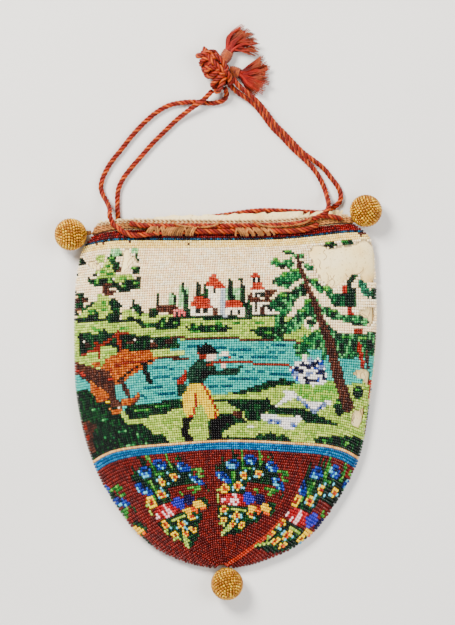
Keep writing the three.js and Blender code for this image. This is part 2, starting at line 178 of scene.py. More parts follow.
def ring_run(row):
    """Turns all round a row, and the length run from the left fold to each of them."""
    turn = np.linspace(0, 2, RING_SAMPLES)
    return turn, run_length(round_wall(turn, np.full(RING_SAMPLES, float(row))))


def even_turns(row, shares):
    """The turns that lie at given shares of a row's length, with the length itself."""
    turn, run = ring_run(row)
    return np.interp(np.mod(shares, 1.0) * run[-1], run, turn), run[-1]


def outward(turn, row, inset=0.0):
    """Directions of the wall along the row, down the column and outwards, with the height of a row."""
    along = unit(round_wall(turn + TURN_STEP, row, inset) - round_wall(turn - TURN_STEP, row, inset))
    down = round_wall(turn, row + ROW_STEP, inset) - round_wall(turn, row - ROW_STEP, inset)
    out = unit(np.cross(down, along))
    across = np.cross(along, out)
    return along, across, out, np.abs(np.sum(down * across, axis=-1)) / (2 * ROW_STEP)


# Mesh helpers

def mesh_piece(name, points, faces, material, slot):
    """A smooth piece of the pouch, from points in millimetres."""
    faces = np.asarray(faces, dtype=np.int32)
    mesh = bpy.data.meshes.new(name)
    mesh.vertices.add(len(points))
    mesh.vertices.foreach_set("co", ((np.asarray(points) + FRAME_SHIFT) * MM).astype(np.float32).ravel())
    mesh.loops.add(faces.size)
    mesh.loops.foreach_set("vertex_index", faces.ravel())
    mesh.polygons.add(len(faces))
    mesh.polygons.foreach_set("loop_start", np.arange(0, faces.size, faces.shape[1], dtype=np.int32))
    mesh.update(calc_edges=True)
    mesh.polygons.foreach_set("use_smooth", np.ones(len(faces), dtype=bool))
    mesh.materials.append(material)
    piece = bpy.data.objects.new(name, mesh)
    bpy.context.scene.collection.objects.link(piece)
    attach(piece, "root")
    return piece


def paint_points(piece, colours):
    """Linear colours, one for each vertex."""
    layer = piece.data.color_attributes.new("tint", "FLOAT_COLOR", "POINT")
    rgba = np.ones((len(colours), 4), dtype=np.float32)
    rgba[:, :3] = colours
    layer.data.foreach_set("color", rgba.ravel())


def joined(parts):
    """Several (points, faces) as one."""
    points = np.concatenate([p for p, _ in parts])
    starts = np.cumsum([0] + [len(p) for p, _ in parts[:-1]])
    faces = np.concatenate([f + start for (_, f), start in zip(parts, starts)])
    return points, faces


def catmull(points, per_span=24):
    """A smooth centripetal curve through points."""
    p = np.asarray(points, dtype=float)
    p = np.concatenate(([2 * p[0] - p[1]], p, [2 * p[-1] - p[-2]]))
    made = []
    for a, b, c, d in zip(p[:-3], p[1:-2], p[2:-1], p[3:]):
        t1 = np.linalg.norm(b - a) ** 0.5
        t2 = t1 + np.linalg.norm(c - b) ** 0.5
        t3 = t2 + np.linalg.norm(d - c) ** 0.5
        t = np.linspace(t1, t2, per_span, endpoint=False)[:, None]
        ab = (a * (t1 - t) + b * t) / t1
        bc = (b * (t2 - t) + c * (t - t1)) / (t2 - t1)
        cd = (c * (t3 - t) + d * (t - t2)) / (t3 - t2)
        abc = (ab * (t2 - t) + bc * t) / t2
        bcd = (bc * (t3 - t) + cd * (t - t1)) / (t3 - t1)
        made.append((abc * (t2 - t) + bcd * (t - t1)) / (t2 - t1))
    return np.concatenate(made + [p[-2:-1]])


LEAST_POINTS = 3
STEEP = 0.9  # rise of a path, as a share of its length, above which its frame starts sideways
TURNED = [0, 3, 2, 1]  # a quad's corners, seen from its other side


def resampled(points, step):
    """Points about a step apart along a path."""
    run = run_length(points)
    wanted = np.linspace(0, run[-1], max(LEAST_POINTS, int(round(run[-1] / step)) + 1))
    return np.stack([np.interp(wanted, run, points[:, i]) for i in range(3)], axis=1)


def frames(points, closed=False):
    """Two directions across a path at each of its points, turned as little as possible along it."""
    if closed:
        tangent = unit(np.roll(points, -1, axis=0) - np.roll(points, 1, axis=0))
    else:
        tangent = unit(np.gradient(points, axis=0))
    across = np.empty_like(points)
    current = UP if abs(tangent[0, 2]) < STEEP else SIDEWAYS
    for i, t in enumerate(tangent):
        current = unit(current - t * current.dot(t))
        across[i] = current
    return across, np.cross(tangent, across)


def grid_quads(levels, columns, closed=False):
    """Quads of a grid that is closed round its columns, and round its levels too when asked."""
    i = np.arange(levels if closed else levels - 1)[:, None]
    j = np.arange(columns)[None]
    i_next, j_next = (i + 1) % levels, (j + 1) % columns
    corners = [i * columns + j, i_next * columns + j, i_next * columns + j_next, i * columns + j_next]
    return np.stack(corners, axis=-1).reshape(-1, 4)


def halved(quads):
    """Each quad as two triangles."""
    return np.concatenate([quads[:, [0, 1, 2]], quads[:, [0, 2, 3]]])


def swept(points, radius, sides, closed=False):
    """A tube along a path, with its ends closed unless the path is a loop."""
    points = np.asarray(points, dtype=float)
    count = len(points)
    across, beside = frames(points, closed)
    angle = np.linspace(0, 2 * np.pi, sides, endpoint=False)
    reach = np.broadcast_to(np.asarray(radius, dtype=float), (count,))[:, None, None]
    ring = across[:, None] * np.cos(angle)[:, None] + beside[:, None] * np.sin(angle)[:, None]
    verts = (points[:, None] + ring * reach).reshape(-1, 3)
    faces = halved(grid_quads(count, sides, closed)[:, TURNED])
    if closed:
        return verts, faces
    k = np.arange(sides)
    k_next = (k + 1) % sides
    last_ring = (count - 1) * sides
    first = np.stack([np.full(sides, len(verts)), k_next, k], axis=1)
    last = np.stack([np.full(sides, len(verts) + 1), last_ring + k, last_ring + k_next], axis=1)
    return np.concatenate([verts, points[[0, -1]]]), np.concatenate([faces, first, last])


STRAND_SHARE = 0.46  # radius of a strand, and its distance from the middle, as shares of the rope's radius
STRAND_OFFSET = 0.55


def rope(path, diameter, lay, sides=7, closed=False, strands=3, phase=0.0):
    """Strands twisted together round a path."""
    radius = diameter / 2
    across, beside = frames(path, closed)
    run = run_length(path)
    turns = run / lay
    if closed:
        whole = run[-1] + np.linalg.norm(path[0] - path[-1])
        turns = run / whole * max(1, round(whole / lay))
    made = []
    for k in range(strands):
        angle = (2 * np.pi * (turns + k / strands) + phase)[:, None]
        centre = path + radius * STRAND_OFFSET * (across * np.cos(angle) + beside * np.sin(angle))
        made.append(swept(centre, radius * STRAND_SHARE, sides, closed))
    return joined(made)


SILK_SHADES = ((170, 42, 6), (206, 84, 16), (132, 24, 4))
# Painted shade in the grooves between the strands of a rope:
GROOVE_SHADE = 0.1  # of the full shade, at the middle of a rope
GROOVE_TOP = 0.6  # share of the radius up to which a strand is that dark
GROOVE_FADE = 0.38


def rope_tints(verts, path, diameter):
    """A colour for each strand of a rope, with painted shade that darkens it in the grooves between the
    strands.
    """
    per_strand = len(verts) // len(SILK_SHADES)
    sides = per_strand // len(path)
    middle = np.repeat(path, sides, axis=0)
    tints = []
    for k, shade in enumerate(linear(SILK_SHADES)):
        own = verts[k * per_strand:(k + 1) * per_strand]
        away = np.zeros(per_strand)
        away[:len(middle)] = np.linalg.norm(own[:len(middle)] - middle, axis=1) / (diameter / 2)
        open_share = np.clip((away - GROOVE_TOP) / GROOVE_FADE, 0, 1)
        tints.append(shade * (GROOVE_SHADE + (1 - GROOVE_SHADE) * open_share)[:, None])
    return np.concatenate(tints)


# Materials

WHITE = (255, 255, 255)
BUMP_STRENGTH = 0.6
THREAD_GRAIN = 700.0
THREAD_PATCHES = THREAD_GRAIN / 9


def linear(rgb):
    """Screen colours from 0 to 255 as linear light."""
    c = np.asarray(rgb, dtype=float) / 255
    return np.where(c <= 0.04045, c / 12.92, ((c + 0.055) / 1.055) ** 2.4)


def rgba(rgb):
    return (*(float(v) for v in linear(rgb)), 1.0)


class Look:
    """A material's node tree, with its main shader at hand."""

    def __init__(self, name, **values):
        self.material = bpy.data.materials.new(name)
        self.material.use_nodes = True
        self.tree = self.material.node_tree
        self.shader = self.tree.nodes["Principled BSDF"]
        for key, value in values.items():
            self.shader.inputs[key.replace("_", " ")].default_value = value

    def node(self, kind, **values):
        made = self.tree.nodes.new(kind)
        for key, value in values.items():
            if key in made.inputs:
                made.inputs[key].default_value = value
            else:
                setattr(made, key, value)
        return made

    def link(self, out, into):
        self.tree.links.new(out, into)

    def place(self):
        return self.node("ShaderNodeTexCoord").outputs["Object"]

    def tint(self):
        """The colour that is painted on the points."""
        return self.node("ShaderNodeAttribute", attribute_name="tint").outputs["Color"]

    def noise(self, scale, detail=3.0, stretch=None):
        source = self.place()
        if stretch:
            mapping = self.node("ShaderNodeMapping", Scale=stretch)
            self.link(source, mapping.inputs["Vector"])
            source = mapping.outputs["Vector"]
        texture = self.node("ShaderNodeTexNoise", Scale=scale, Detail=detail)
        self.link(source, texture.inputs["Vector"])
        return texture.outputs["Fac"]

    def ramp(self, source, *stops):
        made = self.node("ShaderNodeValToRGB")
        elements = made.color_ramp.elements
        while len(elements) < len(stops):
            elements.new(0.5)
        for element, (at, rgb) in zip(elements, stops):
            element.position = at
            element.color = rgba(rgb)
        self.link(source, made.inputs["Fac"])
        return made.outputs["Color"]

    def mix(self, first, second, share, how="MULTIPLY"):
        made = self.node("ShaderNodeMix", data_type="RGBA", blend_type=how)
        made.inputs[0].default_value = share
        self.link(first, made.inputs[6])
        self.link(second, made.inputs[7])
        return made.outputs[2]

    def colour(self, out):
        self.link(out, self.shader.inputs["Base Color"])

    def rough(self, source, low, high):
        made = self.node("ShaderNodeMapRange")
        made.inputs["To Min"].default_value = low
        made.inputs["To Max"].default_value = high
        self.link(source, made.inputs["Value"])
        self.link(made.outputs["Result"], self.shader.inputs["Roughness"])

    def bump(self, source, height):
        made = self.node("ShaderNodeBump", Strength=BUMP_STRENGTH, Distance=height * MM)
        self.link(source, made.inputs["Height"])
        self.link(made.outputs["Normal"], self.shader.inputs["Normal"])


def bead_look():
    look = Look("seed_beads", Coat_Weight=0.05, Coat_Roughness=0.1, Specular_IOR_Level=0.2)
    dust = look.ramp(look.noise(scale=60.0), (0.3, (238, 232, 224)), (0.75, WHITE))
    look.colour(look.mix(look.tint(), dust, share=0.8))
    look.rough(look.noise(scale=900.0, detail=2.0), low=0.14, high=0.34)
    return look.material


def thread_look(name, dark, light, height=0.12, sheen=0.3, tinted=False):
    look = Look(name, Sheen_Weight=sheen, Sheen_Roughness=0.5, Specular_IOR_Level=0.2)
    fine = look.noise(scale=THREAD_GRAIN, detail=4.0)
    broad = look.noise(scale=THREAD_PATCHES, detail=2.0)
    fade = look.ramp(broad, (0.3, (205, 200, 196)), (0.7, WHITE))
    colour = look.mix(look.ramp(fine, (0.3, dark), (0.7, light)), fade, share=0.7)
    if tinted:
        colour = look.mix(colour, look.tint(), share=1.0)
    look.colour(colour)
    look.rough(fine, low=0.6, high=0.9)
    look.bump(fine, height)
    return look.material


def silk_look():
    look = Look("twisted_silk", Sheen_Weight=0.02, Sheen_Roughness=0.4, Specular_IOR_Level=0.2)
    fibre = look.noise(scale=1500.0, detail=4.0)
    patch = look.noise(scale=130.0, detail=2.0)
    fade = look.ramp(patch, (0.3, (196, 176, 168)), (0.7, WHITE))
    shade = look.ramp(fibre, (0.3, (186, 168, 158)), (0.7, WHITE))
    colour = look.mix(look.tint(), fade, share=0.8)
    look.colour(look.mix(colour, shade, share=0.85))
    look.rough(fibre, low=0.4, high=0.66)
    look.bump(fibre, height=0.1)
    return look.material


def lining_look():
    look = Look("cotton_lining", Sheen_Weight=0.1, Sheen_Roughness=0.6, Specular_IOR_Level=0.2)
    waves = []
    for direction in ("X", "Y"):
        wave = look.node("ShaderNodeTexWave", Scale=620.0, Distortion=1.2, bands_direction=direction)
        look.link(look.place(), wave.inputs["Vector"])
        waves.append(wave.outputs["Color"])
    weave = look.mix(*waves, share=0.5, how="ADD")
    stain = look.noise(scale=70.0, detail=5.0)
    crease = look.noise(scale=95.0, detail=6.0, stretch=(1.0, 0.45, 1.0))
    fleck = look.noise(scale=900.0, detail=2.0)
    colour = look.ramp(stain, (0.3, (238, 200, 122)), (0.44, (250, 224, 158)), (0.7, (255, 238, 186)))
    cloth = look.ramp(weave, (0.1, (226, 212, 190)), (0.8, WHITE))
    colour = look.mix(colour, cloth, share=0.7)
    # painted shade: a thin darker line along each crease
    crease_shade = look.ramp(crease, (0.47, WHITE), (0.495, (196, 162, 114)), (0.52, WHITE))
    colour = look.mix(colour, crease_shade, share=0.2)
    dirt = look.ramp(fleck, (0.3, (150, 118, 78)), (0.37, WHITE))
    look.colour(look.mix(colour, dirt, share=0.6))
    look.rough(stain, low=0.75, high=0.95)
    look.bump(crease, height=0.5)
    return look.material


def gold_look():
    look = Look("gold_beads", Metallic=0.6, Coat_Weight=0.1, Coat_Roughness=0.15)
    age = look.ramp(look.noise(scale=260.0), (0.3, (190, 176, 150)), (0.7, WHITE))
    look.colour(look.mix(look.tint(), age, share=0.8))
    look.rough(look.noise(scale=1200.0, detail=2.0), low=0.2, high=0.42)
    return look.material


BEAD = bead_look()
GOLD = gold_look()
SILK = silk_look()
LINING = lining_look()
GROUND = thread_look("knitting_thread", (196, 184, 168), (255, 250, 240), sheen=0.05, tinted=True)
CROCHET = thread_look("crochet_thread", (168, 148, 120), (255, 246, 228), height=0.2, sheen=0.1, tinted=True)
LOOSE = thread_look("loose_thread", (104, 70, 44), (178, 132, 84), height=0.1, sheen=0.05)
BINDING = thread_look("binding_thread", (96, 24, 4), (184, 82, 18), height=0.15)
# the core's dark brown is partly the thread's own colour, partly painted shade in the gaps between the gold
# beads; the shank shares it
BALL_CORE = thread_look("ball_core", (84, 46, 14), (132, 82, 30), sheen=0.05)


# Cords: the runs in the heading and the free strands up to the knot

CORD_DIAMETER = 2.8
RUN_GAP = 0.5
CORD_LAY = 6.6
CORD_STEP = 0.75
# Runs in the heading: the side, and points by their s and row
RUNS = {
    "cord_front_upper": (FRONT, [(-0.72, -3), (-0.62, -1.8), (-0.5, -1.6), (-0.34, -2.1), (0, -2.5),
                                 (0.4, -2.6), (0.55, -2.3), (0.62, -2.6), (0.71, -3.7), (0.78, -4.9)]),
    "cord_front_lower": (FRONT, [(-0.865, -4.4), (-0.845, -2.8), (-0.79, -0.4), (-0.72, 1.8), (-0.64, 2.7),
                                 (-0.56, 2.2), (-0.48, 1.4), (-0.3, 0.7), (0, 0.4), (0.36, 0.4), (0.5, 1.2),
                                 (0.6, 1.2), (0.67, 0.5), (0.72, -0.4)]),
    "cord_back_upper": (BACK, [(-0.64, -4), (-0.3, -4.2), (0, -5.4), (0.3, -7.2), (0.6, -7), (0.82, -6.4)]),
    "cord_back_lower": (BACK, [(-0.83, -4), (-0.8, -2.2), (-0.7, -1.1), (-0.4, -0.8), (0, -0.8), (0.4, -0.8),
                               (0.86, -0.8)]),
}
# Free strands: the run that each goes on from, which of its points that is, and the points after it
STRANDS = {
    "cord_left_outer": ("cord_front_lower", 0, [
        (-55, 90.6, 12.3), (-55.1, 94.2, 9.2), (-56.8, 98.2, 4.8), (-59, 102, 2.2), (-59.9, 106, 1.6),
        (-58.4, 111.5, 1.6), (-55, 117.7, 1.6), (-50, 124, 1.6), (-44.2, 131.4, 1.6), (-37.6, 138.4, 1.6),
        (-31, 143.8, 1.6), (-25.2, 146.8, 1.6), (-19.4, 148, 1.6), (-13.6, 148.4, 1.6), (-8.6, 148, 1.6),
        (-3, 147.8, 1.6), (1.4, 149, 1.8), (3.2, 151.4, 3.4), (2.4, 155.2, 6.2)]),
    "cord_left_inner": ("cord_back_lower", 0, [
        (-51.4, 91.4, 1.7), (-51.6, 97.4, 1.6), (-51.2, 104, 1.6), (-49.2, 109, 1.6), (-45, 114.8, 1.6),
        (-40, 120.6, 1.6), (-34.2, 127.2, 1.6), (-27.6, 133.8, 1.6), (-21, 140, 1.8), (-14.4, 145, 3.8),
        (-8.6, 149, 5), (-4.4, 153.2, 5.7), (-3.9, 153.7, 5.9)]),
    "cord_right_inner": ("cord_front_upper", 9, [
        (53.2, 92.8, 12.8), (54.4, 96, 9.8), (54, 99.6, 4.6), (53, 103.6, 1.8), (49.8, 110.6, 1.6),
        (46.2, 115.6, 1.6), (41.2, 120.6, 1.6), (36.2, 125.2, 1.6), (31.2, 130.6, 1.6), (26.2, 135.6, 1.6),
        (22, 141.2, 1.6), (18, 146.2, 1.8), (13, 150.4, 2.6), (8.6, 153.2, 3.4), (3.7, 158, 4.7)]),
    "cord_right_outer": ("cord_back_upper", 5, [
        (57.4, 95.6, 1.6), (60.2, 98.4, 1.6), (60.6, 102, 1.6), (59.4, 105.4, 1.6), (56, 110, 1.6),
        (52, 115, 1.9), (47, 118.9, 3.4), (42, 122.5, 4.2), (37.6, 126.8, 4.2), (32.6, 132.2, 4.2),
        (27.6, 137.2, 4.2), (23.2, 143, 4.2), (18.8, 148.2, 4.8), (13.6, 152.6, 6), (9.4, 156, 7),
        (6.3, 159.9, 7.9)]),
}
# The tucked end at the right corner: s, row and height above the front
TUCK = [(0.79, -5.1, 1.6), (0.83, -4.3, 1.9), (0.87, -3.3, 1.9), (0.9, -2.3, 1.4), (0.912, -1.8, 0.3)]
SPOT_STEP = 0.02


def on_front(s, row, height):
    """A point at a height above the front."""
    along = wall(s + SPOT_STEP, row, FRONT) - wall(s - SPOT_STEP, row, FRONT)
    up = wall(s, row - SPOT_STEP, FRONT) - wall(s, row + SPOT_STEP, FRONT)
    return wall(s, row, FRONT) + unit(np.cross(along, up)) * height


def run_points(name):
    """The points of a run in the heading: s and row on its side, with the cord clear of the wall."""
    side, points = RUNS[name]
    lift = CORD_DIAMETER / 2 + RUN_GAP
    if side == FRONT:
        return np.array([on_front(s, row, lift) for s, row in points])
    return np.array([wall(s, row, BACK) - UP * lift for s, row in points])


def cord_piece(name, points):
    """A rope through points, with its path."""
    path = resampled(catmull(points), CORD_STEP)
    verts, faces = rope(path, CORD_DIAMETER, CORD_LAY)
    piece = mesh_piece(name + "_rope", verts, faces, SILK, "silk")
    paint_points(piece, rope_tints(verts, path, CORD_DIAMETER))
    return piece, path


for run in RUNS:
    cord, cord_path = cord_piece(run, run_points(run))
    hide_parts(run)

for strand, (run, index, points) in STRANDS.items():
    cord_piece(strand, [run_points(run)[index], *points])
    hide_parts(strand)
cord_piece("cord_tuck", [on_front(*point) for point in TUCK])


# Knot: cord wound in pairs over a core

KNOT_FOOT = np.array((1.6, 156.0, 6.2))
KNOT_HEAD = np.array((-8.4, 174.6, 6.2))
# Each turn round the knot: its place along it, radius, tilt and lean
WRAPS = [
    (0.06, 4.3, 0.45, 0.2), (0.2, 4.6, 0.3, -0.1), (0.34, 4.8, -0.35, 0.25), (0.47, 4.7, -0.25, -0.2),
    (0.61, 4.7, 0.3, 0.3), (0.74, 4.5, 0.2, -0.25), (0.86, 4.0, -0.3, 0.1),
]
WRAP_POINTS = 40
# Each pass over the top of the knot: the turn of its strands, and its points from the knot's foot
PASSES = [
    (0.0, [(-4.5, -1.5, -1), (-3, 4, 3.2), (1.5, 8, 5.6), (-1, 13, 5.4), (-9, 16, 2.4)]),
    (1.0, [(3.8, 1, 1), (2.6, 5.5, 4.6), (-3, 10, 5.8), (-7.5, 14.5, 4.6), (-9.5, 19, 0.5)]),
]
CORE_RADIUS = 4.14
CORE_PLACES = np.linspace(0.02, 0.98, 16)
CORE_TAPER = np.sqrt(1 - np.linspace(-0.92, 0.92, 16) ** 2)
CORE_SIDES = 12


def knot_piece():
    axis = KNOT_HEAD - KNOT_FOOT
    along = unit(axis)
    beside = np.cross(along, UP)
    rise = np.cross(beside, along)
    angle = np.linspace(0, 2 * np.pi, WRAP_POINTS, endpoint=False)[:, None]
    paths = []
    ropes = []
    for place, radius, tilt, lean in WRAPS:
        slope = tilt * np.cos(angle) + lean * np.sin(2 * angle)
        loop = KNOT_FOOT + axis * place
        loop = loop + radius * (beside * np.cos(angle) + rise * np.sin(angle) + along * slope)
        loop[:, 2] = np.maximum(loop[:, 2], CORD_DIAMETER / 2)
        paths.append(loop)
        ropes.append(rope(loop, CORD_DIAMETER, CORD_LAY, closed=True))
    for phase, points in PASSES:
        paths.append(resampled(catmull(KNOT_FOOT + np.array(points)), CORD_STEP))
        ropes.append(rope(paths[-1], CORD_DIAMETER, CORD_LAY, phase=phase))
    core = swept(KNOT_FOOT + np.outer(CORE_PLACES, axis), CORE_RADIUS * CORE_TAPER, CORE_SIDES)
    tints = [rope_tints(verts, path, CORD_DIAMETER) for (verts, _), path in zip(ropes, paths)]
    tints.append(np.tile(linear(SILK_SHADES[-1]), (len(core[0]), 1)))
    piece = mesh_piece("knot_rope", *joined([*ropes, core]), SILK, "silk")
    paint_points(piece, np.concatenate(tints))
    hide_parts("knot")
    return piece


# Tassels: frayed cord ends with bound heads

# Each tassel: start, way of its head, first and last way of its locks and their bend in degrees, and reach
TASSELS = {
    "tassel_upper": dict(start=(2.2, 169.6), heading=62, fan=(84, 4), bend=-34, reach=17.5),
    "tassel_lower": dict(start=(5.2, 163.6), heading=-12, fan=(30, -50), bend=14, reach=17.5),
}
TASSEL_HEIGHT = 3.4
TASSEL_HEAD = 4.6
TASSEL_LOCKS = 46
NECK_RADIUS = 1.8
LOCK_RADIUS = 0.52
LOCK_STEPS = 7
LOCK_REACH = (0.72, 1.0)  # shares of the tassel's reach
LOCK_TO_MIDDLE = 0.42  # shares of that from the neck to the middle, and from there to the tip
LOCK_TO_TIP = 0.5
LOCK_LIFT = 4.6  # the most that a tip stands up
LOCK_GATHER = 0.8  # how far out a lock lies in the head and half way out, by its place in the neck
LOCK_SPREAD = 1.4
LOCK_START = 1.5
LOCK_BEND = (0.5, 1.4)  # shares of the tassel's bend
LOCK_STRAY = 0.5
LOCK_WAVES = (9, 13)
LOCK_WAVE = 0.3
LOCK_SHADES = linear(((96, 3, 2), (130, 8, 5), (164, 26, 8)))
TIP_SHADE = linear((210, 112, 62))
TIP_START = 0.55
TIP_SHARE = (0.15, 0.8)
FRAYS = (-1, 0, 1)
FRAY_START = 0.32
FRAY_GROWTH = 0.5
FRAY_WAVES = 14
FRAY_RISE = 0.16
FRAY_FLOOR = 0.7 * LOCK_RADIUS
FRAY_TAPER = (0.78 * LOCK_RADIUS, 0.42 * LOCK_RADIUS)
FRAY_SIDES = 5
HEAD_TURNS = 6
HEAD_STEPS = 18
HEAD_RADIUS = 2.2
HEAD_SWELL = 0.45
HEAD_SPAN = (-0.6, TASSEL_HEAD + 0.2)
HEAD_THREAD = 0.5
HEAD_SIDES = 6


def heading_of(degrees):
    angle = math.radians(degrees)
    return np.array((math.cos(angle), math.sin(angle), 0.0))


def tassel_lock(root, neck, side, towards, way, bend, reach):
    """One lock of yarn from the head, over the neck and out to its tip."""
    spot = NECK_RADIUS * math.sqrt(RNG.random())
    turn = 2 * math.pi * RNG.random()
    at_neck = side * spot * math.cos(turn) + UP * spot * math.sin(turn)
    out = reach * between(*LOCK_REACH)
    height = LOCK_RADIUS + LOCK_LIFT * RNG.random()
    middle = neck + at_neck * LOCK_SPREAD + heading_of(way) * out * LOCK_TO_MIDDLE
    middle[2] = (TASSEL_HEIGHT + height) / 2 + at_neck[2]
    tip = middle + heading_of(way + bend * between(*LOCK_BEND)) * out * LOCK_TO_TIP
    tip[2] = height
    middle = middle + RNG.normal(0, LOCK_STRAY, 3)
    start = root + at_neck * LOCK_GATHER + towards * LOCK_START
    path = catmull([start, neck + at_neck, middle, tip], LOCK_STEPS)
    along = np.linspace(0, 1, len(path))
    wave = np.sin(along * between(*LOCK_WAVES) + turn) * LOCK_WAVE * along
    path = path + np.outer(wave, side)
    path[:, 2] = np.maximum(path[:, 2], LOCK_RADIUS)
    return path, along


def frayed(path, along, side, fray):
    """One of the strands that a lock frays into."""
    spread = np.outer(fray * (FRAY_START + FRAY_GROWTH * along ** 3), side)
    strand = path + spread + np.outer(np.cos(along * FRAY_WAVES + fray * 2) * FRAY_RISE, UP)
    strand[:, 2] = np.maximum(strand[:, 2], FRAY_FLOOR)
    return swept(strand, np.linspace(*FRAY_TAPER, len(path)), FRAY_SIDES)


def head_binding(root, towards, side):
    """Thread wound round the head of a tassel."""
    turn = np.linspace(0, 2 * np.pi * HEAD_TURNS, HEAD_TURNS * HEAD_STEPS)
    radius = HEAD_RADIUS + HEAD_SWELL * np.sin(np.linspace(0, np.pi, len(turn)))
    coil = root + np.outer(np.linspace(*HEAD_SPAN, len(turn)), towards)
    coil = coil + np.outer(radius * np.cos(turn), side) + np.outer(radius * np.sin(turn), UP)
    coil[:, 2] = np.maximum(coil[:, 2], HEAD_THREAD)
    return swept(coil, HEAD_THREAD, HEAD_SIDES)


def tassel_piece(name, start, heading, fan, bend, reach):
    towards = heading_of(heading)
    root = np.array((*start, TASSEL_HEIGHT))
    neck = root + towards * TASSEL_HEAD
    side = np.cross(towards, UP)
    parts = []
    tints = []
    for lock in range(TASSEL_LOCKS):
        way = fan[0] + (fan[1] - fan[0]) * (lock + RNG.random()) / TASSEL_LOCKS
        path, along = tassel_lock(root, neck, side, towards, way, bend, reach)
        plain = np.clip((along - TIP_START) / (1 - TIP_START), 0, 1)[:, None] ** 2 * between(*TIP_SHARE)
        colour = LOCK_SHADES[lock % len(LOCK_SHADES)] * (1 - plain) + TIP_SHADE * plain
        for fray in FRAYS:
            parts.append(frayed(path, along, side, fray))
            tints += [np.repeat(colour, FRAY_SIDES, axis=0), colour[:1], colour[-1:]]
    piece = mesh_piece(name + "_silk", *joined(parts), SILK, "silk")
    paint_points(piece, np.concatenate(tints))
    bound = mesh_piece(name + "_binding", *head_binding(root, towards, side), BINDING, "silk")
    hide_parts(name)
    return [piece, bound]


knot = knot_piece()
tassels = [made for tassel, shape in TASSELS.items() for made in tassel_piece(tassel, **shape)]


# Places where beads are lost and the lining shows

LOSSES = {
    "shoulder": [(46, 76), (51, 76.3), (54.5, 73.8), (57.5, 75), (61, 76), (65, 75.8), (68, 77.5), (72, 79),
                 (80, 76), (80, 58), (74, 57), (71, 58.5), (69, 62), (66, 61.5), (63, 59), (60, 56.5),
                 (57, 54), (54, 55.5), (51, 58), (48, 62.5), (46, 67), (44, 71)],
    "side_high": [(69, 41.5), (70, 43.5), (73, 44.6), (77, 45), (77.3, 40), (76.5, 36.3), (74.8, 36),
                  (73.4, 39.8)],
    "side": [(66.3, 12), (67.5, 13.8), (72.9, 14.6), (74.8, 13.2), (75.2, 10.8), (74.4, 6), (72.9, 6.2),
             (71.7, 8.4), (69, 9.6)],
    "side_low": [(65, -12.6), (65.8, -9), (67, -6.5), (69.5, -6.6), (72.4, -3.4), (72.2, -8), (71.6, -11.4),
                 (69.1, -16), (67, -15)],
    "leaf": [(-66, 67.5), (-63, 68), (-60, 66.5), (-58.5, 64.5), (-61, 63.5), (-65, 64.5)],
    "tree_top": [(-49, 73.5), (-45.5, 74.5), (-44.5, 71), (-41, 69.5), (-41, 66.5), (-45, 65), (-45.5, 62),
                 (-49, 62.5), (-48.5, 68)],
}
LOSS_FLOOR = 4.2  # height below which no bead is lost


def within(x, y, outline):
    """Which points lie inside an outline."""
    inside = np.zeros(np.shape(x), dtype=bool)
    corners = np.asarray(outline, dtype=float)
    for (ax, ay), (bx, by) in zip(corners, np.roll(corners, -1, axis=0)):
        crosses = (ay > y) != (by > y)
        at = ax + (y - ay) * (bx - ax) / (by - ay if by != ay else TINY)
        inside ^= crosses & (x < at)
    return inside


def lost(points):
    """Which points of the front lie where beads are lost."""
    gone = np.zeros(points.shape[:-1], dtype=bool)
    for outline in LOSSES.values():
        gone |= within(points[..., 0], points[..., 1], outline)
    return gone & (points[..., 2] > LOSS_FLOOR)


# Sheets of the bag: the knitted ground and the lining

def bag_sheet(name, turn, rows, inset, thickness, material, slot, holed):
    """A sheet through the wall points at the given turns, a grid of rows, and one inset or a grid of them."""
    levels, columns = rows.shape
    points = round_wall(np.broadcast_to(turn, rows.shape), rows, np.broadcast_to(inset, rows.shape))
    flat = points.reshape(-1, 3)
    quads = grid_quads(levels, columns)
    if holed:
        quads = quads[~lost(flat[quads].mean(axis=1))]
    last = (levels - 1) * columns + np.arange(columns)
    fan = np.stack([last, np.full(columns, len(flat)), np.roll(last, -1)], axis=1)
    verts = np.concatenate([flat, [points[-1].mean(axis=0)]])
    piece = mesh_piece(name, verts, np.concatenate([halved(quads), fan]), material, slot)
    solidify = piece.modifiers.new("thickness", "SOLIDIFY")
    solidify.thickness = thickness * MM
    solidify.offset = -1
    return piece, verts


LINING_TURNS = np.linspace(0, 2, 180, endpoint=False)
LINING_ROWS = np.linspace(-4.8, 131, 92)
LINING_INSET = 1.4
LINING_THICKNESS = 0.6
HEM_RISE = 1.1  # rows by which the lining stands above the back of the heading
HEM_STRAY = 0.28
HEM_STEEPNESS = 3  # of its rise from the folds
HEM_FADE = 7.0
BULGE = 0.85
BULGE_MARGIN = 2.2
BULGE_FLOOR = LOSS_FLOOR - 0.5
PROBES = 12


def inside_share(x, y, outline, margin):
    """How far inside an outline points lie: 0 at its edge, 1 a margin inside."""
    angles = np.linspace(0, 2 * np.pi, PROBES, endpoint=False)
    near = [within(x + margin * np.cos(a), y + margin * np.sin(a), outline) for a in angles]
    return np.clip(2 * np.mean(near, axis=0) - 1, 0, 1)


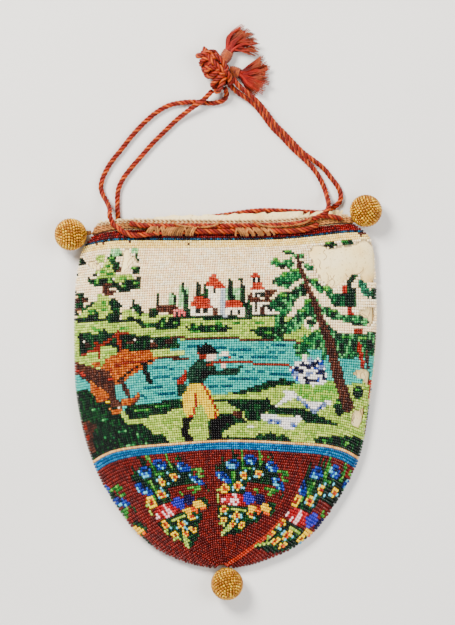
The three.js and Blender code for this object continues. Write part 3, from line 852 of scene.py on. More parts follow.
def lining_piece():
    """The lining, with a ragged hem at the back and pushed out where the shoulder has lost its beads."""
    over_back = np.clip(np.sin(np.pi * (LINING_TURNS - 1)) * HEM_STEEPNESS, 0, 1) * (LINING_TURNS > 1)
    ragged = over_back * (HEM_RISE + RNG.normal(0, HEM_STRAY, len(LINING_TURNS)))
    fade = np.clip(1 - (LINING_ROWS - LINING_ROWS[0]) / HEM_FADE, 0, 1)
    rows = LINING_ROWS[:, None] - ragged * fade[:, None]
    flat = round_wall(np.broadcast_to(LINING_TURNS, rows.shape), rows, np.full(rows.shape, LINING_INSET))
    bare = inside_share(flat[..., 0], flat[..., 1], LOSSES["shoulder"], BULGE_MARGIN)
    inset = LINING_INSET - BULGE * bare * (flat[..., 2] > BULGE_FLOOR)
    piece, _ = bag_sheet("lining_cloth", LINING_TURNS, rows, inset, LINING_THICKNESS, LINING, "cotton", False)
    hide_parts("lining")


lining_piece()


# Loose ends of the knitting thread in the places where beads are lost

THREAD_COUNTS = {"shoulder": 7, "side_high": 3, "side": 4, "side_low": 5, "leaf": 6, "tree_top": 9}
THREAD_RADIUS = 0.1
THREAD_SIDES = 5
THREAD_POINTS = 5
THREAD_STEPS = 5
THREAD_STRAY = 0.012
THREAD_FALL = (1.0, 3.0)
THREAD_FLOOR = LOSS_FLOOR + 1
THREAD_LIMITS = (-0.99, 0.985)
THREAD_S = np.linspace(-0.99, 0.97, 160)
THREAD_ROWS = np.linspace(4, 90, 180)


def loose_threads():
    s_grid, row_grid = np.meshgrid(THREAD_S, THREAD_ROWS)
    spots = wall(s_grid, row_grid, FRONT)
    parts = []
    for place, count in THREAD_COUNTS.items():
        inset = LINING_INSET - THREAD_RADIUS
        if place == "shoulder":
            inset -= BULGE
        bare = within(spots[..., 0], spots[..., 1], LOSSES[place]) & (spots[..., 2] > THREAD_FLOOR)
        choices = np.argwhere(bare)
        for i, j in choices[RNG.integers(0, len(choices), count)]:
            run = RNG.normal(0, THREAD_STRAY, THREAD_POINTS).cumsum()
            fall = np.linspace(-1, 1, THREAD_POINTS) * between(*THREAD_FALL)
            path = wall(np.clip(s_grid[i, j] + run, *THREAD_LIMITS), row_grid[i, j] + fall, FRONT, inset)
            parts.append(swept(catmull(path, THREAD_STEPS), THREAD_RADIUS, THREAD_SIDES))
    mesh_piece("loose_threads", *joined(parts), LOOSE, "cotton")


loose_threads()


# Paints for the beads: a few near shades each, and how the shades lie

PAINTS = {
    "rim": [(122, 24, 20), (140, 32, 26), (158, 42, 34), (128, 26, 22), (98, 20, 20)],
    "night": [(26, 66, 92), (22, 92, 122), (40, 36, 48), (34, 118, 146), (26, 30, 48)],
    "cream": [(248, 216, 124), (240, 202, 104), (252, 228, 150)],
    "sky": [(255, 234, 188), (255, 242, 208), (253, 226, 172), (254, 231, 188), (251, 219, 172)],
    "mint": [(170, 214, 158), (148, 200, 148), (198, 226, 186)],
    "lime": [(176, 200, 100), (196, 214, 114), (156, 186, 90), (206, 222, 130)],
    "grass": [(150, 196, 88), (120, 178, 84), (178, 206, 104)],
    "leaf": [(72, 150, 72), (104, 172, 76), (46, 122, 58), (134, 188, 90)],
    "bough": [(40, 116, 76), (72, 158, 100), (122, 190, 128), (18, 70, 50), (32, 98, 66)],
    "forest": [(10, 58, 38), (16, 76, 48), (36, 98, 56), (22, 42, 32), (12, 50, 40)],
    "coat": [(38, 78, 62), (54, 98, 76), (26, 56, 46)],
    "teal_leaf": [(60, 140, 110), (92, 170, 136), (30, 96, 76)],
    "bark": [(98, 60, 48), (78, 48, 40), (118, 76, 58)],
    "black": [(28, 20, 24), (18, 14, 20), (42, 30, 32)],
    "roof": [(190, 82, 56), (174, 70, 50), (206, 104, 70)],
    "wall": [(255, 242, 214), (250, 232, 200), (255, 248, 228)],
    "wall_shade": [(196, 204, 210), (180, 190, 202)],
    "pink": [(222, 128, 128), (232, 158, 150)],
    "pane": [(34, 52, 44), (26, 34, 34)],
    "water": [(78, 188, 180), (98, 204, 190), (60, 172, 170), (86, 194, 186)],
    "ripple": [(16, 114, 128), (26, 130, 140), (12, 94, 114)],
    "deck": [(194, 118, 42), (178, 102, 36), (212, 140, 58), (164, 80, 40)],
    "rail": [(156, 64, 38), (138, 52, 34)],
    "red": [(172, 54, 40), (154, 44, 34), (186, 74, 52)],
    "yellow": [(240, 216, 0), (230, 202, 0), (246, 226, 20)],
    "gold": [(244, 208, 4), (236, 194, 2), (248, 222, 24)],
    "skin": [(244, 212, 188), (238, 196, 172)],
    "fur": [(240, 236, 228), (228, 228, 226), (248, 244, 236)],
    "fur_shade": [(150, 166, 196), (128, 142, 178)],
    "navy": [(16, 20, 76), (26, 34, 98), (14, 18, 56)],
    "blue": [(42, 76, 166), (58, 100, 188), (34, 60, 142)],
    "cyan": [(130, 214, 234), (104, 190, 220)],
    "stripe": [(0, 126, 172), (0, 110, 158), (20, 146, 190)],
    "peach": [(234, 194, 136), (222, 178, 118), (242, 210, 160)],
    "base": [(122, 42, 37), (133, 48, 41), (108, 37, 35), (146, 55, 45)],
    # the ridge paint is a painted highlight: brighter beads along one raised rib near the pole
    "ridge": [(196, 84, 52), (176, 70, 46)],
    "rose": [(184, 38, 50), (166, 28, 42), (202, 66, 76)],
    "blush": [(248, 206, 208), (242, 176, 182)],
    "violet": [(68, 68, 184), (88, 84, 200)],
    "plum": [(40, 30, 90), (52, 36, 108)],
    "amber": [(226, 112, 14), (236, 136, 22)],
}
LEVEL = {"lime", "grass", "water", "ripple", "stripe", "sky"}
UPRIGHT = {"leaf", "bough", "forest", "coat", "teal_leaf", "bark", "base", "mint"}
COLUMNS = {"rim"}
PALE = {"cream", "sky", "wall", "fur", "skin", "blush"}
PAINT_DEPTH = 1.45  # power that deepens every paint but the pale ones
LINEAR_PAINTS = {
    name: linear(shades) ** (1.0 if name in PALE else PAINT_DEPTH) for name, shades in PAINTS.items()
}
UPRIGHT_RUN = 3  # beads of one shade below each other
UPRIGHT_SHIFT = 1.7  # rows by which the runs of the next columns are set off
UPRIGHT_COLUMNS = 3  # columns after which that starts again
LEVEL_RUN = 5  # beads of one shade beside each other
LEVEL_ROWS = 4  # rows in which the runs are numbered on
MIXED_SHARE = 0.35  # how far single beads stray from the shade of their run
SCATTER = (12.9898, 78.233, 43758.5453)  # uneven numbers, so that no pattern shows
MIXED_SEED = (0.5, 3.0)
COLUMN_SEED = 5.0
WEAR_SEED = (7.0, 11.0)
# A tuft's least and added reach, and where its bright and dark parts start, as shares of its own size
TUFT_LEAST = 0.75
TUFT_RAGGED = 0.5
TUFT_BRIGHT = 0.45
TUFT_DARK = -0.2
# A blue flower's eye, the dots below it and the dots on its edge, as shares of its own size
EYE_X = 0.15
EYE_Y = 0.3
EYE_SIZE = 0.38
DOTS_X = -0.15
DOTS_HALF = 0.55
DOTS_LOW = -0.75
DOTS_GAPS = 0.4  # share of the beads there without a dot
EDGE_X = -0.45
EDGE_GAPS = 0.75


def scatter(a, b):
    """A fixed number between 0 and 1 for each pair."""
    return np.mod(np.sin(a * SCATTER[0] + b * SCATTER[1]) * SCATTER[2], 1.0)


class Picture:
    """Colours of a set of beads, laid on in order by shapes drawn in millimetres."""

    def __init__(self, x, y, col, row):
        self.x = x
        self.y = y
        self.rgb = np.zeros((len(x), 3))
        self.mixed = scatter(col + MIXED_SEED[0], row + MIXED_SEED[1])
        shifted = row + UPRIGHT_SHIFT * np.mod(col, UPRIGHT_COLUMNS)
        self.upright = scatter(col, np.floor(shifted / UPRIGHT_RUN))
        self.level = scatter(row, np.floor(col / LEVEL_RUN) + np.mod(row, LEVEL_ROWS))
        self.column = scatter(col, np.full(len(x), COLUMN_SEED))

    def put(self, where, paint):
        shades = LINEAR_PAINTS[paint]
        lie = self.mixed
        for lies, paints in ((self.level, LEVEL), (self.upright, UPRIGHT), (self.column, COLUMNS)):
            if paint in paints:
                lie = lies
        lie = np.mod(lie + MIXED_SHARE * self.mixed, 1.0)
        pick = np.minimum((lie * len(shades)).astype(int), len(shades) - 1)
        self.rgb[where] = shades[pick[where]]

    def area(self, paint, *corners):
        self.put(within(self.x, self.y, corners), paint)

    def box(self, paint, left, bottom, right, top):
        self.put((self.x > left) & (self.x < right) & (self.y > bottom) & (self.y < top), paint)

    def spots(self, paint, wide, high, *centres):
        for x, y in centres:
            self.put(((self.x - x) / wide) ** 2 + ((self.y - y) / high) ** 2 < 1, paint)

    def line(self, paint, width, *points):
        """A stroke whose width may change from one end to the other."""
        widths = np.linspace(width[0], width[1], len(points)) if isinstance(width, tuple) else None
        for i, ((ax, ay), (bx, by)) in enumerate(zip(points, points[1:])):
            length = max((bx - ax) ** 2 + (by - ay) ** 2, TINY)
            t = np.clip(((self.x - ax) * (bx - ax) + (self.y - ay) * (by - ay)) / length, 0, 1)
            away = np.hypot(self.x - ax - t * (bx - ax), self.y - ay - t * (by - ay))
            wide = width if widths is None else widths[i] + (widths[i + 1] - widths[i]) * t
            self.put(away < wide / 2, paint)

    def lines(self, paint, strokes):
        for width, *points in strokes:
            self.line(paint, width, *points)

    def tuft(self, x, y, wide, high):
        """A tuft of foliage: bright at the top, dark below."""
        dx = (self.x - x) / wide
        dy = (self.y - y) / high
        inside = dx * dx + dy * dy < TUFT_LEAST + TUFT_RAGGED * self.upright
        self.put(inside, "bough")
        self.put(inside & (dy > TUFT_BRIGHT), "leaf")
        self.put(inside & (dy < TUFT_DARK), "forest")

    def bloom(self, x, y, wide, high, lean):
        """A blue flower: a dark eye above and pale dots below."""
        dx = (self.x - x) / wide
        dy = (self.y - y - lean * (self.x - x)) / high
        inside = dx * dx + dy * dy < 1
        self.put(inside, "blue")
        self.put(inside & (np.hypot(dx - EYE_X, dy - EYE_Y) < EYE_SIZE), "navy")
        below = (dy < 0) & (dy > DOTS_LOW) & (np.abs(dx - DOTS_X) < DOTS_HALF)
        self.put(inside & below & (self.mixed > DOTS_GAPS), "cyan")
        self.put(inside & (dx < EDGE_X) & (self.mixed > EDGE_GAPS), "cyan")


def sky(p):
    p.put(np.ones(len(p.x), dtype=bool), "sky")


def left_tree(p):
    p.area("mint", (-54.7, 74.4), (-49.4, 74.6), (-49, 70), (-52, 70.4), (-54.7, 71.6))
    p.area("mint", (-44.2, 75.2), (-40.4, 75.2), (-40.8, 71.4), (-44.2, 71.4))
    p.area("lime", (-61.8, 70.8), (-57.8, 70.8), (-57.2, 67.8), (-60.5, 67.2), (-61.8, 69))
    p.area("forest", (-71, 69.6), (-68, 69.4), (-67, 66.6), (-69, 65.2), (-71, 66))
    p.area("lime", (-62.7, 63.7), (-58.7, 64.6), (-57.2, 67.7), (-55.9, 68.4), (-54.6, 67.4),
           (-52.5, 62.4), (-49.7, 60.9), (-46.6, 61.9), (-43.4, 61.2), (-43.2, 58.6), (-48.8, 56.9),
           (-51.9, 57.2), (-52.5, 59.4), (-62.1, 58.9), (-60.5, 61.2))
    p.spots("leaf", 1.6, 1.0, (-58, 62.6), (-54.6, 61.6), (-48, 59.6), (-56, 65.6))
    p.area("forest", (-56.8, 69.9), (-55, 71.2), (-52.2, 70.6), (-51.9, 68), (-50.2, 67.4), (-49.2, 61.8),
           (-52.5, 62.7), (-54.6, 66.6))
    p.area("bark", (-52.2, 64.4), (-49.2, 64.6), (-49.1, 62), (-51.6, 62.6))
    p.area("forest", (-65.8, 59.8), (-62.1, 59), (-56.2, 60.1), (-53.7, 60), (-51.6, 56.9), (-48.8, 56.6),
           (-47.6, 58.5), (-43.2, 58.4), (-41.7, 60.1), (-39.2, 60), (-38.9, 56.9), (-40.1, 53.7),
           (-43.5, 53.7), (-45.4, 52.4), (-48.2, 52.1), (-50.3, 52.8), (-52.5, 55), (-58.7, 55.8),
           (-63, 55.8), (-65.5, 56.8))
    p.area("forest", (-65.2, 62.5), (-61.2, 61.6), (-61.2, 59.9), (-63, 60.2))
    p.area("forest", (-45.1, 65.9), (-42, 64.4), (-40.4, 65.9), (-38.8, 64.6), (-40.4, 61.7),
           (-42.6, 61.1))
    p.spots("forest", 1.1, 0.9, (-43.8, 70.2), (-41.7, 70.9), (-41.8, 68.8), (-49.4, 71.6), (-71.4, 61.2))
    p.spots("leaf", 1.4, 0.9, (-62, 58), (-55, 58.4), (-47.6, 55.6), (-42, 57), (-43.2, 64.6),
            (-54, 69.6))
    p.area("bark", (-58.8, 56.6), (-53.7, 56.9), (-54.7, 55), (-54.6, 52.6), (-55.6, 50.3), (-58.4, 52.2),
           (-59, 55))
    p.line("bark", 1.1, (-55.4, 50.6), (-52.5, 53.2))
    p.spots("bark", 0.9, 1.0, (-54.7, 49.1))


def left_bank(p):
    p.area("forest", (-75, 54), (-70.4, 52.4), (-66.1, 53), (-68.5, 50.6), (-65.8, 49.6), (-66, 47.6),
           (-69, 46.4), (-66.4, 44.6), (-70, 41.6), (-72.9, 40), (-75, 40))
    p.spots("bark", 1.7, 1.0, (-67.4, 48.6), (-71, 44), (-71.6, 48.4))
    p.spots("peach", 0.8, 0.7, (-71.5, 50), (-70, 43))
    p.area("lime", (-60.8, 51.2), (-55.9, 51.3), (-54.6, 48.5), (-54, 44), (-53.7, 42.4), (-57, 39),
           (-73, 38.6), (-69.8, 41), (-66.7, 44.4), (-62.4, 47.2))
    p.spots("leaf", 1.5, 1.0, (-58, 47), (-64.6, 43), (-57.4, 43.6))
    p.line("forest", 1.2, (-69, 43.2), (-66.4, 45.2), (-62.8, 47.2))
    p.area("forest", (-68, 38.6), (-66.4, 40.6), (-63.4, 41.6), (-62.8, 45), (-61.8, 44), (-60.2, 41.4),
           (-60.4, 38.6))
    p.area("forest", (-52.8, 51), (-51.6, 48.8), (-48.8, 46), (-49.7, 44.5), (-49.1, 41.4), (-50.2, 38.3),
           (-57.4, 38.3), (-55.6, 42.3), (-53.4, 42.3), (-54.4, 45.1), (-56.2, 47), (-54.4, 48.5))
    p.area("lime", (-48.8, 44), (-45, 44), (-41.6, 43), (-40, 40.6), (-36, 41.6), (-35, 38.4),
           (-49, 38.6))
    p.area("forest", (-43.2, 48.9), (-42.2, 47), (-39.8, 45.8), (-37.6, 41.9), (-40.1, 40.8),
           (-41.7, 43.3), (-45.2, 43.9), (-44.2, 46))
    p.area("forest", (-47.2, 38.3), (-46.6, 40.8), (-42.6, 39.9), (-38.9, 38.6), (-35.2, 38.3),
           (-35.2, 34.9), (-40.4, 34.9), (-41.4, 37.1))
    p.line("bark", 1.0, (-52.6, 38.2), (-48, 38.4))


def meadow(p):
    p.area("lime", (-76, 38), (-40, 38.6), (-38.4, 42.4), (-34, 41.6), (-22, 41.8), (-20, 39.8), (28, 41),
           (36, 40), (48, 31), (46, 26), (18, 27.6), (-20, 28.4), (-45, 30), (-70, 30), (-71, 22),
           (-76, 22))
    p.line("forest", 1.7, (-75, 38.5), (-62, 38.8), (-52, 38.3), (-40, 38.9))
    p.line("forest", 1.5, (-20, 40), (-5, 39.8), (4, 40.2), (13, 39.8), (20, 41.2), (28, 41.2))
    p.area("forest", (-41.4, 37.4), (-39, 38.4), (-36, 37.2), (-31, 37.6), (-28, 40.4), (-26.4, 38),
           (-24.6, 40.6), (-22.6, 40.2), (-20, 39.4), (-19, 36.4), (-22, 34.4), (-34, 34.4), (-40, 35.4))
    p.spots("leaf", 1.3, 0.8, (-36.4, 36), (-29, 36.4), (-22.4, 37.4))
    p.area("forest", (-17.4, 36.2), (-10, 37.4), (-6, 36.4), (0, 37.2), (7, 35.2), (4, 33.4), (-8, 32.8),
           (-16, 33.4))
    p.area("forest", (13.2, 34), (20, 35), (30, 35.4), (32.4, 29.4), (20.8, 29.4), (18, 32))
    p.spots("leaf", 1.5, 0.8, (-12, 35.4), (-4, 34.6), (1.6, 35.6), (24, 32.6))
    p.spots("lime", 0.9, 0.7, (-15, 35.8), (-11, 36.8), (-7.6, 36.2), (-3, 36.4), (0.6, 36.6), (4, 35.6))
    p.spots("leaf", 2.4, 0.8, (-48, 35), (-62, 34), (-12, 32.6), (8, 37), (20, 37), (-1, 37.4))
    p.line("bark", 1.2, (-38, 30), (-15, 29.7), (5, 29.5), (18, 29), (35, 28.3), (46, 27))


def village(p):
    p.box("mint", -25.2, 46.6, -23.4, 52)
    p.area("mint", (-21, 53), (-20, 56), (-15.6, 55), (-15.4, 45), (-20.6, 45))
    p.line("forest", 1.4, (-31, 52), (-30.8, 46))
    p.line("forest", 1.2, (-23, 52.2), (-22.6, 46))
    p.line("forest", (1.2, 3.4), (-18.6, 56.6), (-17, 50), (-16.4, 40.6))
    p.area("bark", (-33.4, 43.6), (-31, 46.6), (-22.4, 46.4), (-20.6, 44.4), (-23, 42), (-33, 42))
    p.spots("forest", 2.4, 2.6, (-33.4, 42.4))
    p.area("pink", (-23.8, 40.4), (-23.6, 43), (-21.8, 44.2), (-18, 44), (-16.8, 42), (-17.2, 40.4))
    p.spots("pane", 0.8, 0.7, (-21.5, 41.6), (-19, 41.6))


def castle(p):
    p.box("mint", 2.4, 48, 10, 55)
    p.line("forest", (1.6, 2.8), (-10.6, 56.6), (-10, 50))
    p.line("forest", (1.4, 2.2), (-7.4, 56.4), (-6.6, 50))
    p.line("forest", (1.4, 2.8), (5.2, 58.8), (5.8, 49))
    p.line("forest", (1.6, 3.4), (10.4, 59.6), (11.4, 52), (11.6, 46))
    p.area("forest", (13.6, 50.4), (15.6, 46), (16.4, 39.4), (11.6, 39.4), (12.6, 45))
    p.area("wall", (-5.8, 55.2), (0.4, 55.2), (0.6, 40.6), (-5.6, 40.6))
    p.area("wall_shade", (0.4, 55.2), (2, 55), (3.4, 48), (3.4, 40.6), (0.4, 40.6))
    p.spots("pane", 1.0, 1.0, (-2.7, 52.8))
    p.area("roof", (-3.9, 62.4), (-2.6, 61.6), (0, 58), (2.8, 55), (-7.8, 55), (-5.4, 59))
    p.area("wall", (-14.6, 45.4), (-4, 45.4), (-4, 40.6), (-14.6, 40.6))
    p.area("roof", (-15.4, 45), (-13, 50), (-5, 50), (-4, 45))
    p.box("pane", -12.6, 42.2, -10, 44.4)
    p.box("pane", -8.9, 42.2, -6.2, 44.4)
    p.box("bark", -4, 40.6, -1, 44.4)
    p.area("wall", (3.2, 45.4), (12.4, 45.4), (12.4, 41), (3.2, 40.8))
    p.area("roof", (2.2, 45), (2.6, 48.5), (9.6, 48.5), (12.4, 44.8))
    p.spots("pane", 1.0, 1.2, (5.6, 43), (9.4, 43))


def second_tower(p):
    p.area("wall", (15.6, 60.2), (20.6, 60.2), (20.4, 57), (15.8, 57))
    p.line("black", 1.2, (16.8, 57), (16.8, 60))
    p.line("black", 1.2, (19.6, 57), (19.6, 60))
    p.area("roof", (17.6, 63.2), (19, 61.6), (21.4, 60), (14.6, 60), (16.4, 61.6))
    p.area("wall", (16.2, 54.4), (22.6, 54.4), (22.6, 49.6), (16.2, 49.6))
    p.area("roof", (14.6, 53.6), (16.8, 57.4), (20.2, 57.4), (23.4, 53.6))
    p.spots("pane", 1.0, 1.0, (18.4, 51.5), (21, 51.4))
    p.area("bark", (13.4, 49.4), (15.6, 52.6), (16.6, 51), (16.6, 49.2))
    p.area("bark", (22.4, 53.6), (28.4, 53.8), (26.6, 51), (24.8, 49), (22.4, 49.4))
    p.area("wall", (16.2, 48.6), (27, 48.6), (27.4, 42), (16.2, 42))
    p.line("bark", 1.4, (14.8, 48.9), (25, 48.7))
    p.spots("pane", 1.0, 0.9, (17.7, 46.2), (22.5, 46.2), (24.9, 46), (24.9, 44.2), (17.7, 44.2))
    p.box("bark", 20, 42, 22.6, 44.8)


TRUNK = [(39, 71), (39.6, 65), (41.6, 61.6), (43.6, 55), (45.6, 51), (47.6, 46), (49, 42), (50.6, 38),
         (52.6, 33), (54.6, 28), (57, 18), (59, 10), (61.6, 2), (64, -4.6)]


def pine(p):
    p.area("forest", (63.2, 57.4), (64.5, 60.8), (66.5, 62.4), (68.6, 62), (69.6, 60.3), (67.6, 59.2),
           (66, 57.6), (65.4, 55.6), (68, 54), (68.4, 51.6), (67.6, 45.4), (65.8, 44.4), (62.6, 46),
           (62.8, 52.4))
    p.area("red", (60.4, 56), (62.9, 56.2), (63, 52.2), (61, 52.4))
    p.area("red", (62.9, 45.9), (65.6, 45.4), (66.6, 41.4), (63.4, 41.4))
    p.area("teal_leaf", (68.7, 58.5), (71.2, 59.6), (73.2, 56.9), (75.7, 51.5), (74.9, 49.6),
           (71.6, 50.6), (70.3, 54), (69.1, 56))
    p.area("forest", (75.6, 54.4), (79, 54), (79, 49), (76, 49))
    p.area("forest", (55, 50.6), (58, 52.6), (62, 51.4), (66.6, 52), (67, 47), (60, 46.6), (56, 47.6))
    p.spots("forest", 3.2, 1.6, (55, 76.4), (63.6, 77.6))
    p.spots("leaf", 1.4, 1.0, (53.4, 77.4), (62, 78.2))
    p.area("bough", (31, 73.6), (34.2, 73.9), (37, 72), (40, 71.6), (42.6, 71.2), (42.4, 69.8),
           (40.6, 68.8), (38.6, 69), (36.6, 70.6), (33, 71.2))
    p.area("bough", (25, 66.4), (25.3, 68.6), (27.2, 69), (30.2, 67.6), (34.8, 69.4), (36.6, 70),
           (36.6, 65), (34.2, 63.5), (32, 65.4), (29.6, 64.4), (27.2, 66))
    p.area("bough", (41.1, 68), (43.6, 66.6), (46.8, 65.4), (46.7, 63.6), (44.3, 63), (42.5, 65))
    p.area("bough", (25, 55.8), (26.7, 59.1), (29.5, 60.9), (36.5, 63.7), (39, 65.2), (40.2, 62.3),
           (40.8, 59), (39.2, 58.4), (37.2, 57.6), (34.8, 55.6), (33, 53.7), (31.3, 55.6), (29.5, 54.5),
           (28.1, 57))
    p.area("bough", (41.4, 58.6), (43.4, 55.6), (42.6, 52.8), (40, 51), (37.9, 48.2), (36.4, 45),
           (32, 39), (33, 37), (31, 28.4), (26.6, 28.8), (27.6, 35), (26.6, 38.4), (29.4, 42.2),
           (26.7, 43.6), (25, 45), (25.3, 47.4), (27.4, 49.8), (29.5, 51.8), (34.4, 53), (37.2, 54.6))
    p.area("bough", (44.2, 50.2), (46.8, 47.2), (48.4, 42), (48.6, 37.2), (45, 33.8), (43.5, 34.9),
           (46.2, 39), (44.3, 40.5), (42.2, 38.4), (40, 34.5), (34.1, 31.2), (30.8, 32.4), (34, 38.4),
           (37.2, 41), (40, 44.2), (42.9, 46.6))
    p.area("bough", (49.2, 35), (51.8, 34.6), (54, 28), (54.6, 23.6), (38.4, 23.6), (39.6, 27),
           (42.2, 29.6), (45, 31.8))
    p.area("bough", (40, 29), (42.4, 32.2), (42.6, 29.4), (41, 28.6))
    p.area("bough", (43.2, 60.6), (45.7, 59.2), (49.2, 57.8), (51.8, 55.6), (55.8, 54.6), (57, 52.1),
           (62.6, 50.2), (62.6, 45), (59.7, 45), (56.2, 46), (54, 49.6), (51.6, 53.4), (50.8, 51),
           (48.4, 52.8), (45, 56.2))
    p.area("bough", (48, 49.8), (50.2, 45.2), (52.8, 46), (56.2, 44.2), (59.8, 41.8), (66, 41),
           (74.6, 40), (74.8, 36.4), (66, 35.4), (62.6, 36.4), (60.6, 38.8), (57.2, 38.7), (52.7, 40.4),
           (50.6, 42.2), (47.8, 47.6))
    p.area("bough", (50.8, 39.8), (54, 37.4), (56.2, 34.6), (59, 32.2), (66, 31.8), (79, 32.6), (79, 21),
           (70, 18.6), (60, 19.4), (56, 24), (56, 29))
    p.spots("forest", 2.4, 1.0, (33, 57), (31, 65.4), (36, 52.4), (45, 37.6), (58.6, 46.6), (56, 41.2),
            (68, 36.8))
    p.spots("forest", 1.6, 3.2, (29.6, 33), (31, 38), (41.6, 53.4), (60.6, 24.6), (68, 24.6), (74.6, 26))
    p.spots("leaf", 2.0, 0.9, (32, 61.4), (37, 63.4), (34, 73), (28, 68.4), (43.6, 48), (40.6, 43.6),
            (53, 54.6), (47, 58.4), (56.6, 43.4), (48.6, 33.6), (44, 26.4), (63, 30), (71, 29.6),
            (31, 51.4))
    p.area("sky", (56.6, 38.4), (65.4, 37.4), (66, 34.2), (62, 32.4), (58.4, 33.4))
    p.area("rail", (66, 35), (71, 34.4), (71, 31.6), (66.8, 32))
    p.area("bough", (36.8, 26.6), (53, 26.4), (53, 18.6), (47, 20.4), (40, 19.2), (37, 22))
    p.area("water", (44, 23.6), (50.4, 24.2), (50, 19.6), (44.6, 20))
    p.spots("wall", 1.5, 1.5, (42, 20))
    p.area("water", (60, 19.2), (77, 20.4), (77, 8.4), (60, 6))
    p.line("red", 2.0, (69.2, 26.3), (70.4, 20), (71.5, 14))
    p.line("bark", 1.6, (73, 23), (73.6, 15))
    p.line("red", 1.4, (76, 9), (75, 4.4), (74.4, 0.4))
    p.line("bark", (1.5, 6.2), *TRUNK)


def lake(p):
    p.area("water", (-75, 31), (-46, 30.6), (-20, 29), (5, 28.9), (18, 28.4), (36, 27.6), (47, 26.4),
           (54, 27), (62, 20), (66, 15), (66, 5), (60, 4), (40, 7), (27, 8.6), (15, 4.6), (0, 1.4),
           (-21, -0.6), (-40, -4), (-49, -6.4), (-54, 0), (-75, 3))
    ripples = [(-2, 24.6, 9), (10, 23.6, 10), (22, 20, 12), (29, 25.6, 12), (-27, 9.8, 12), (12, 9.4, 14),
               (0, 6, 11), (-33, 5.2, 9), (17, 13.4, 9), (30, 11.6, 9), (-28, 14.6, 10), (7, 20.6, 9),
               (-12, 25.6, 8), (-40, 0.6, 7), (-26, 2, 8), (28, 22.8, 8)]
    for x, y, long in ripples:
        p.line("ripple", 1.1, (x - long / 2, y), (x, y + 0.5), (x + long / 2, y - 0.1))


def far_bank(p):
    p.area("lime", (-75, 33.4), (-50, 33.4), (-36, 31.6), (-50, 26), (-70, 18), (-75, 22))
    p.area("forest", (-70.8, 31.4), (-66.4, 32.6), (-62, 31.4), (-58, 34.4), (-55.4, 32), (-49, 32),
           (-36, 30.8), (-21, 29.6), (-20, 25), (-26, 23.6), (-34, 22.4), (-49, 22.4), (-60, 23.4),
           (-63, 22.4), (-70.4, 18.6))
    p.spots("bark", 2.2, 0.9, (-45, 27.6), (-33, 26.2), (-25, 28), (-66, 26))
    p.spots("wall", 0.7, 0.6, (-47.8, 29), (-42, 29.2), (-34.2, 28.6), (-67.6, 27.4))
    p.area("lime", (-34.4, 24.1), (-22, 23.8), (-16.6, 23), (-18, 21), (-33, 20.8))
    p.line("bark", 1.5, (-31.4, 20), (-22, 19.9), (-15.6, 19.6))


def bridge(p):
    p.area("lime", (-75, 22), (-70.4, 21), (-62, 22.2), (-52, 23.4), (-50, 20), (-54, 14), (-75, 15))
    p.area("lime", (-59.7, 25.2), (-51.1, 25.5), (-50.8, 22.9), (-53.7, 20.6), (-56.2, 20.3), (-57.8, 18),
           (-59.1, 20.9))
    p.area("bark", (-75, 18), (-71.9, 17.8), (-60.1, 14.2), (-55.9, 14), (-53, 8.5), (-51.1, -0.4),
           (-48.9, -2.7), (-48.9, -5), (-53.7, -5), (-56.9, -3), (-56, -0.4), (-59.4, 3.4), (-66.2, 7.6),
           (-68.4, 9.4), (-75, 13))
    p.line("red", 1.2, (-73, 18.4), (-72.2, 13.9), (-68, 11.1))
    p.spots("red", 1.2, 0.6, (-54.6, 9.5))
    p.area("water", (-75, 11.8), (-69.9, 10.7), (-68, 7.6), (-68, 3.3), (-75, 3.4))
    p.area("deck", (-56.2, 19.7), (-53.7, 20.6), (-48.6, 23.6), (-34.2, 23.9), (-33.6, 21.6),
           (-31.4, 19.7), (-33, 17.4), (-40.3, 13.6), (-45.4, 9.9), (-50.5, 6.1), (-51.8, 6.5),
           (-55.6, 13.3), (-59.7, 15), (-58.1, 17.1))
    p.area("deck", (-64.2, 17.1), (-60.1, 18.1), (-59.1, 15), (-62.3, 15))
    p.line("rail", 0.9, (-54.6, 14.4), (-47, 17.4), (-38, 18.2))
    p.line("black", 0.9, (-33.3, 18.6), (-40.9, 15.8), (-47.3, 11.4), (-51.1, 7.6))
    p.line("rail", 1.3, (-68.7, 21.3), (-62, 24.1), (-58.1, 26.7), (-52.4, 30.5), (-51.1, 32.7))
    p.line("rail", 1.3, (-50.5, 31.5), (-45.4, 32.1))
    p.line("rail", 1.6, (-61.7, 27.6), (-59.7, 20.3))
    p.line("rail", 1.7, (-51.4, 32.1), (-49.2, 23.8))
    p.line("black", 2.7, (-37.5, 15), (-34.7, 7.8))
    p.line("bark", 2.5, (-48.7, 8), (-45.6, 1.4))
    p.area("deck", (-65.5, 9.8), (-62.3, 6.3), (-58.5, 4.4), (-55.3, 2.1), (-55.3, 0.2), (-57.2, -2.3),
           (-61.3, -2.7), (-62.3, 0.9), (-64.2, 1.8), (-64.8, 6.6))
    p.line("yellow", 0.9, (-57, -2.4), (-54, -2.6))
    p.area("deck", (-55, -5.6), (-48.9, -6), (-49.5, -8.5), (-53.7, -8.5))
    p.area("deck", (-49.9, -1.4), (-42.5, 0.2), (-41.2, 3.1), (-40, 1.8), (-40, 0), (-42.5, -1.6),
           (-45.4, -4.2), (-48.3, -4.2))
    p.line("bark", 0.9, (-40, -0.4), (-45, -4.6))


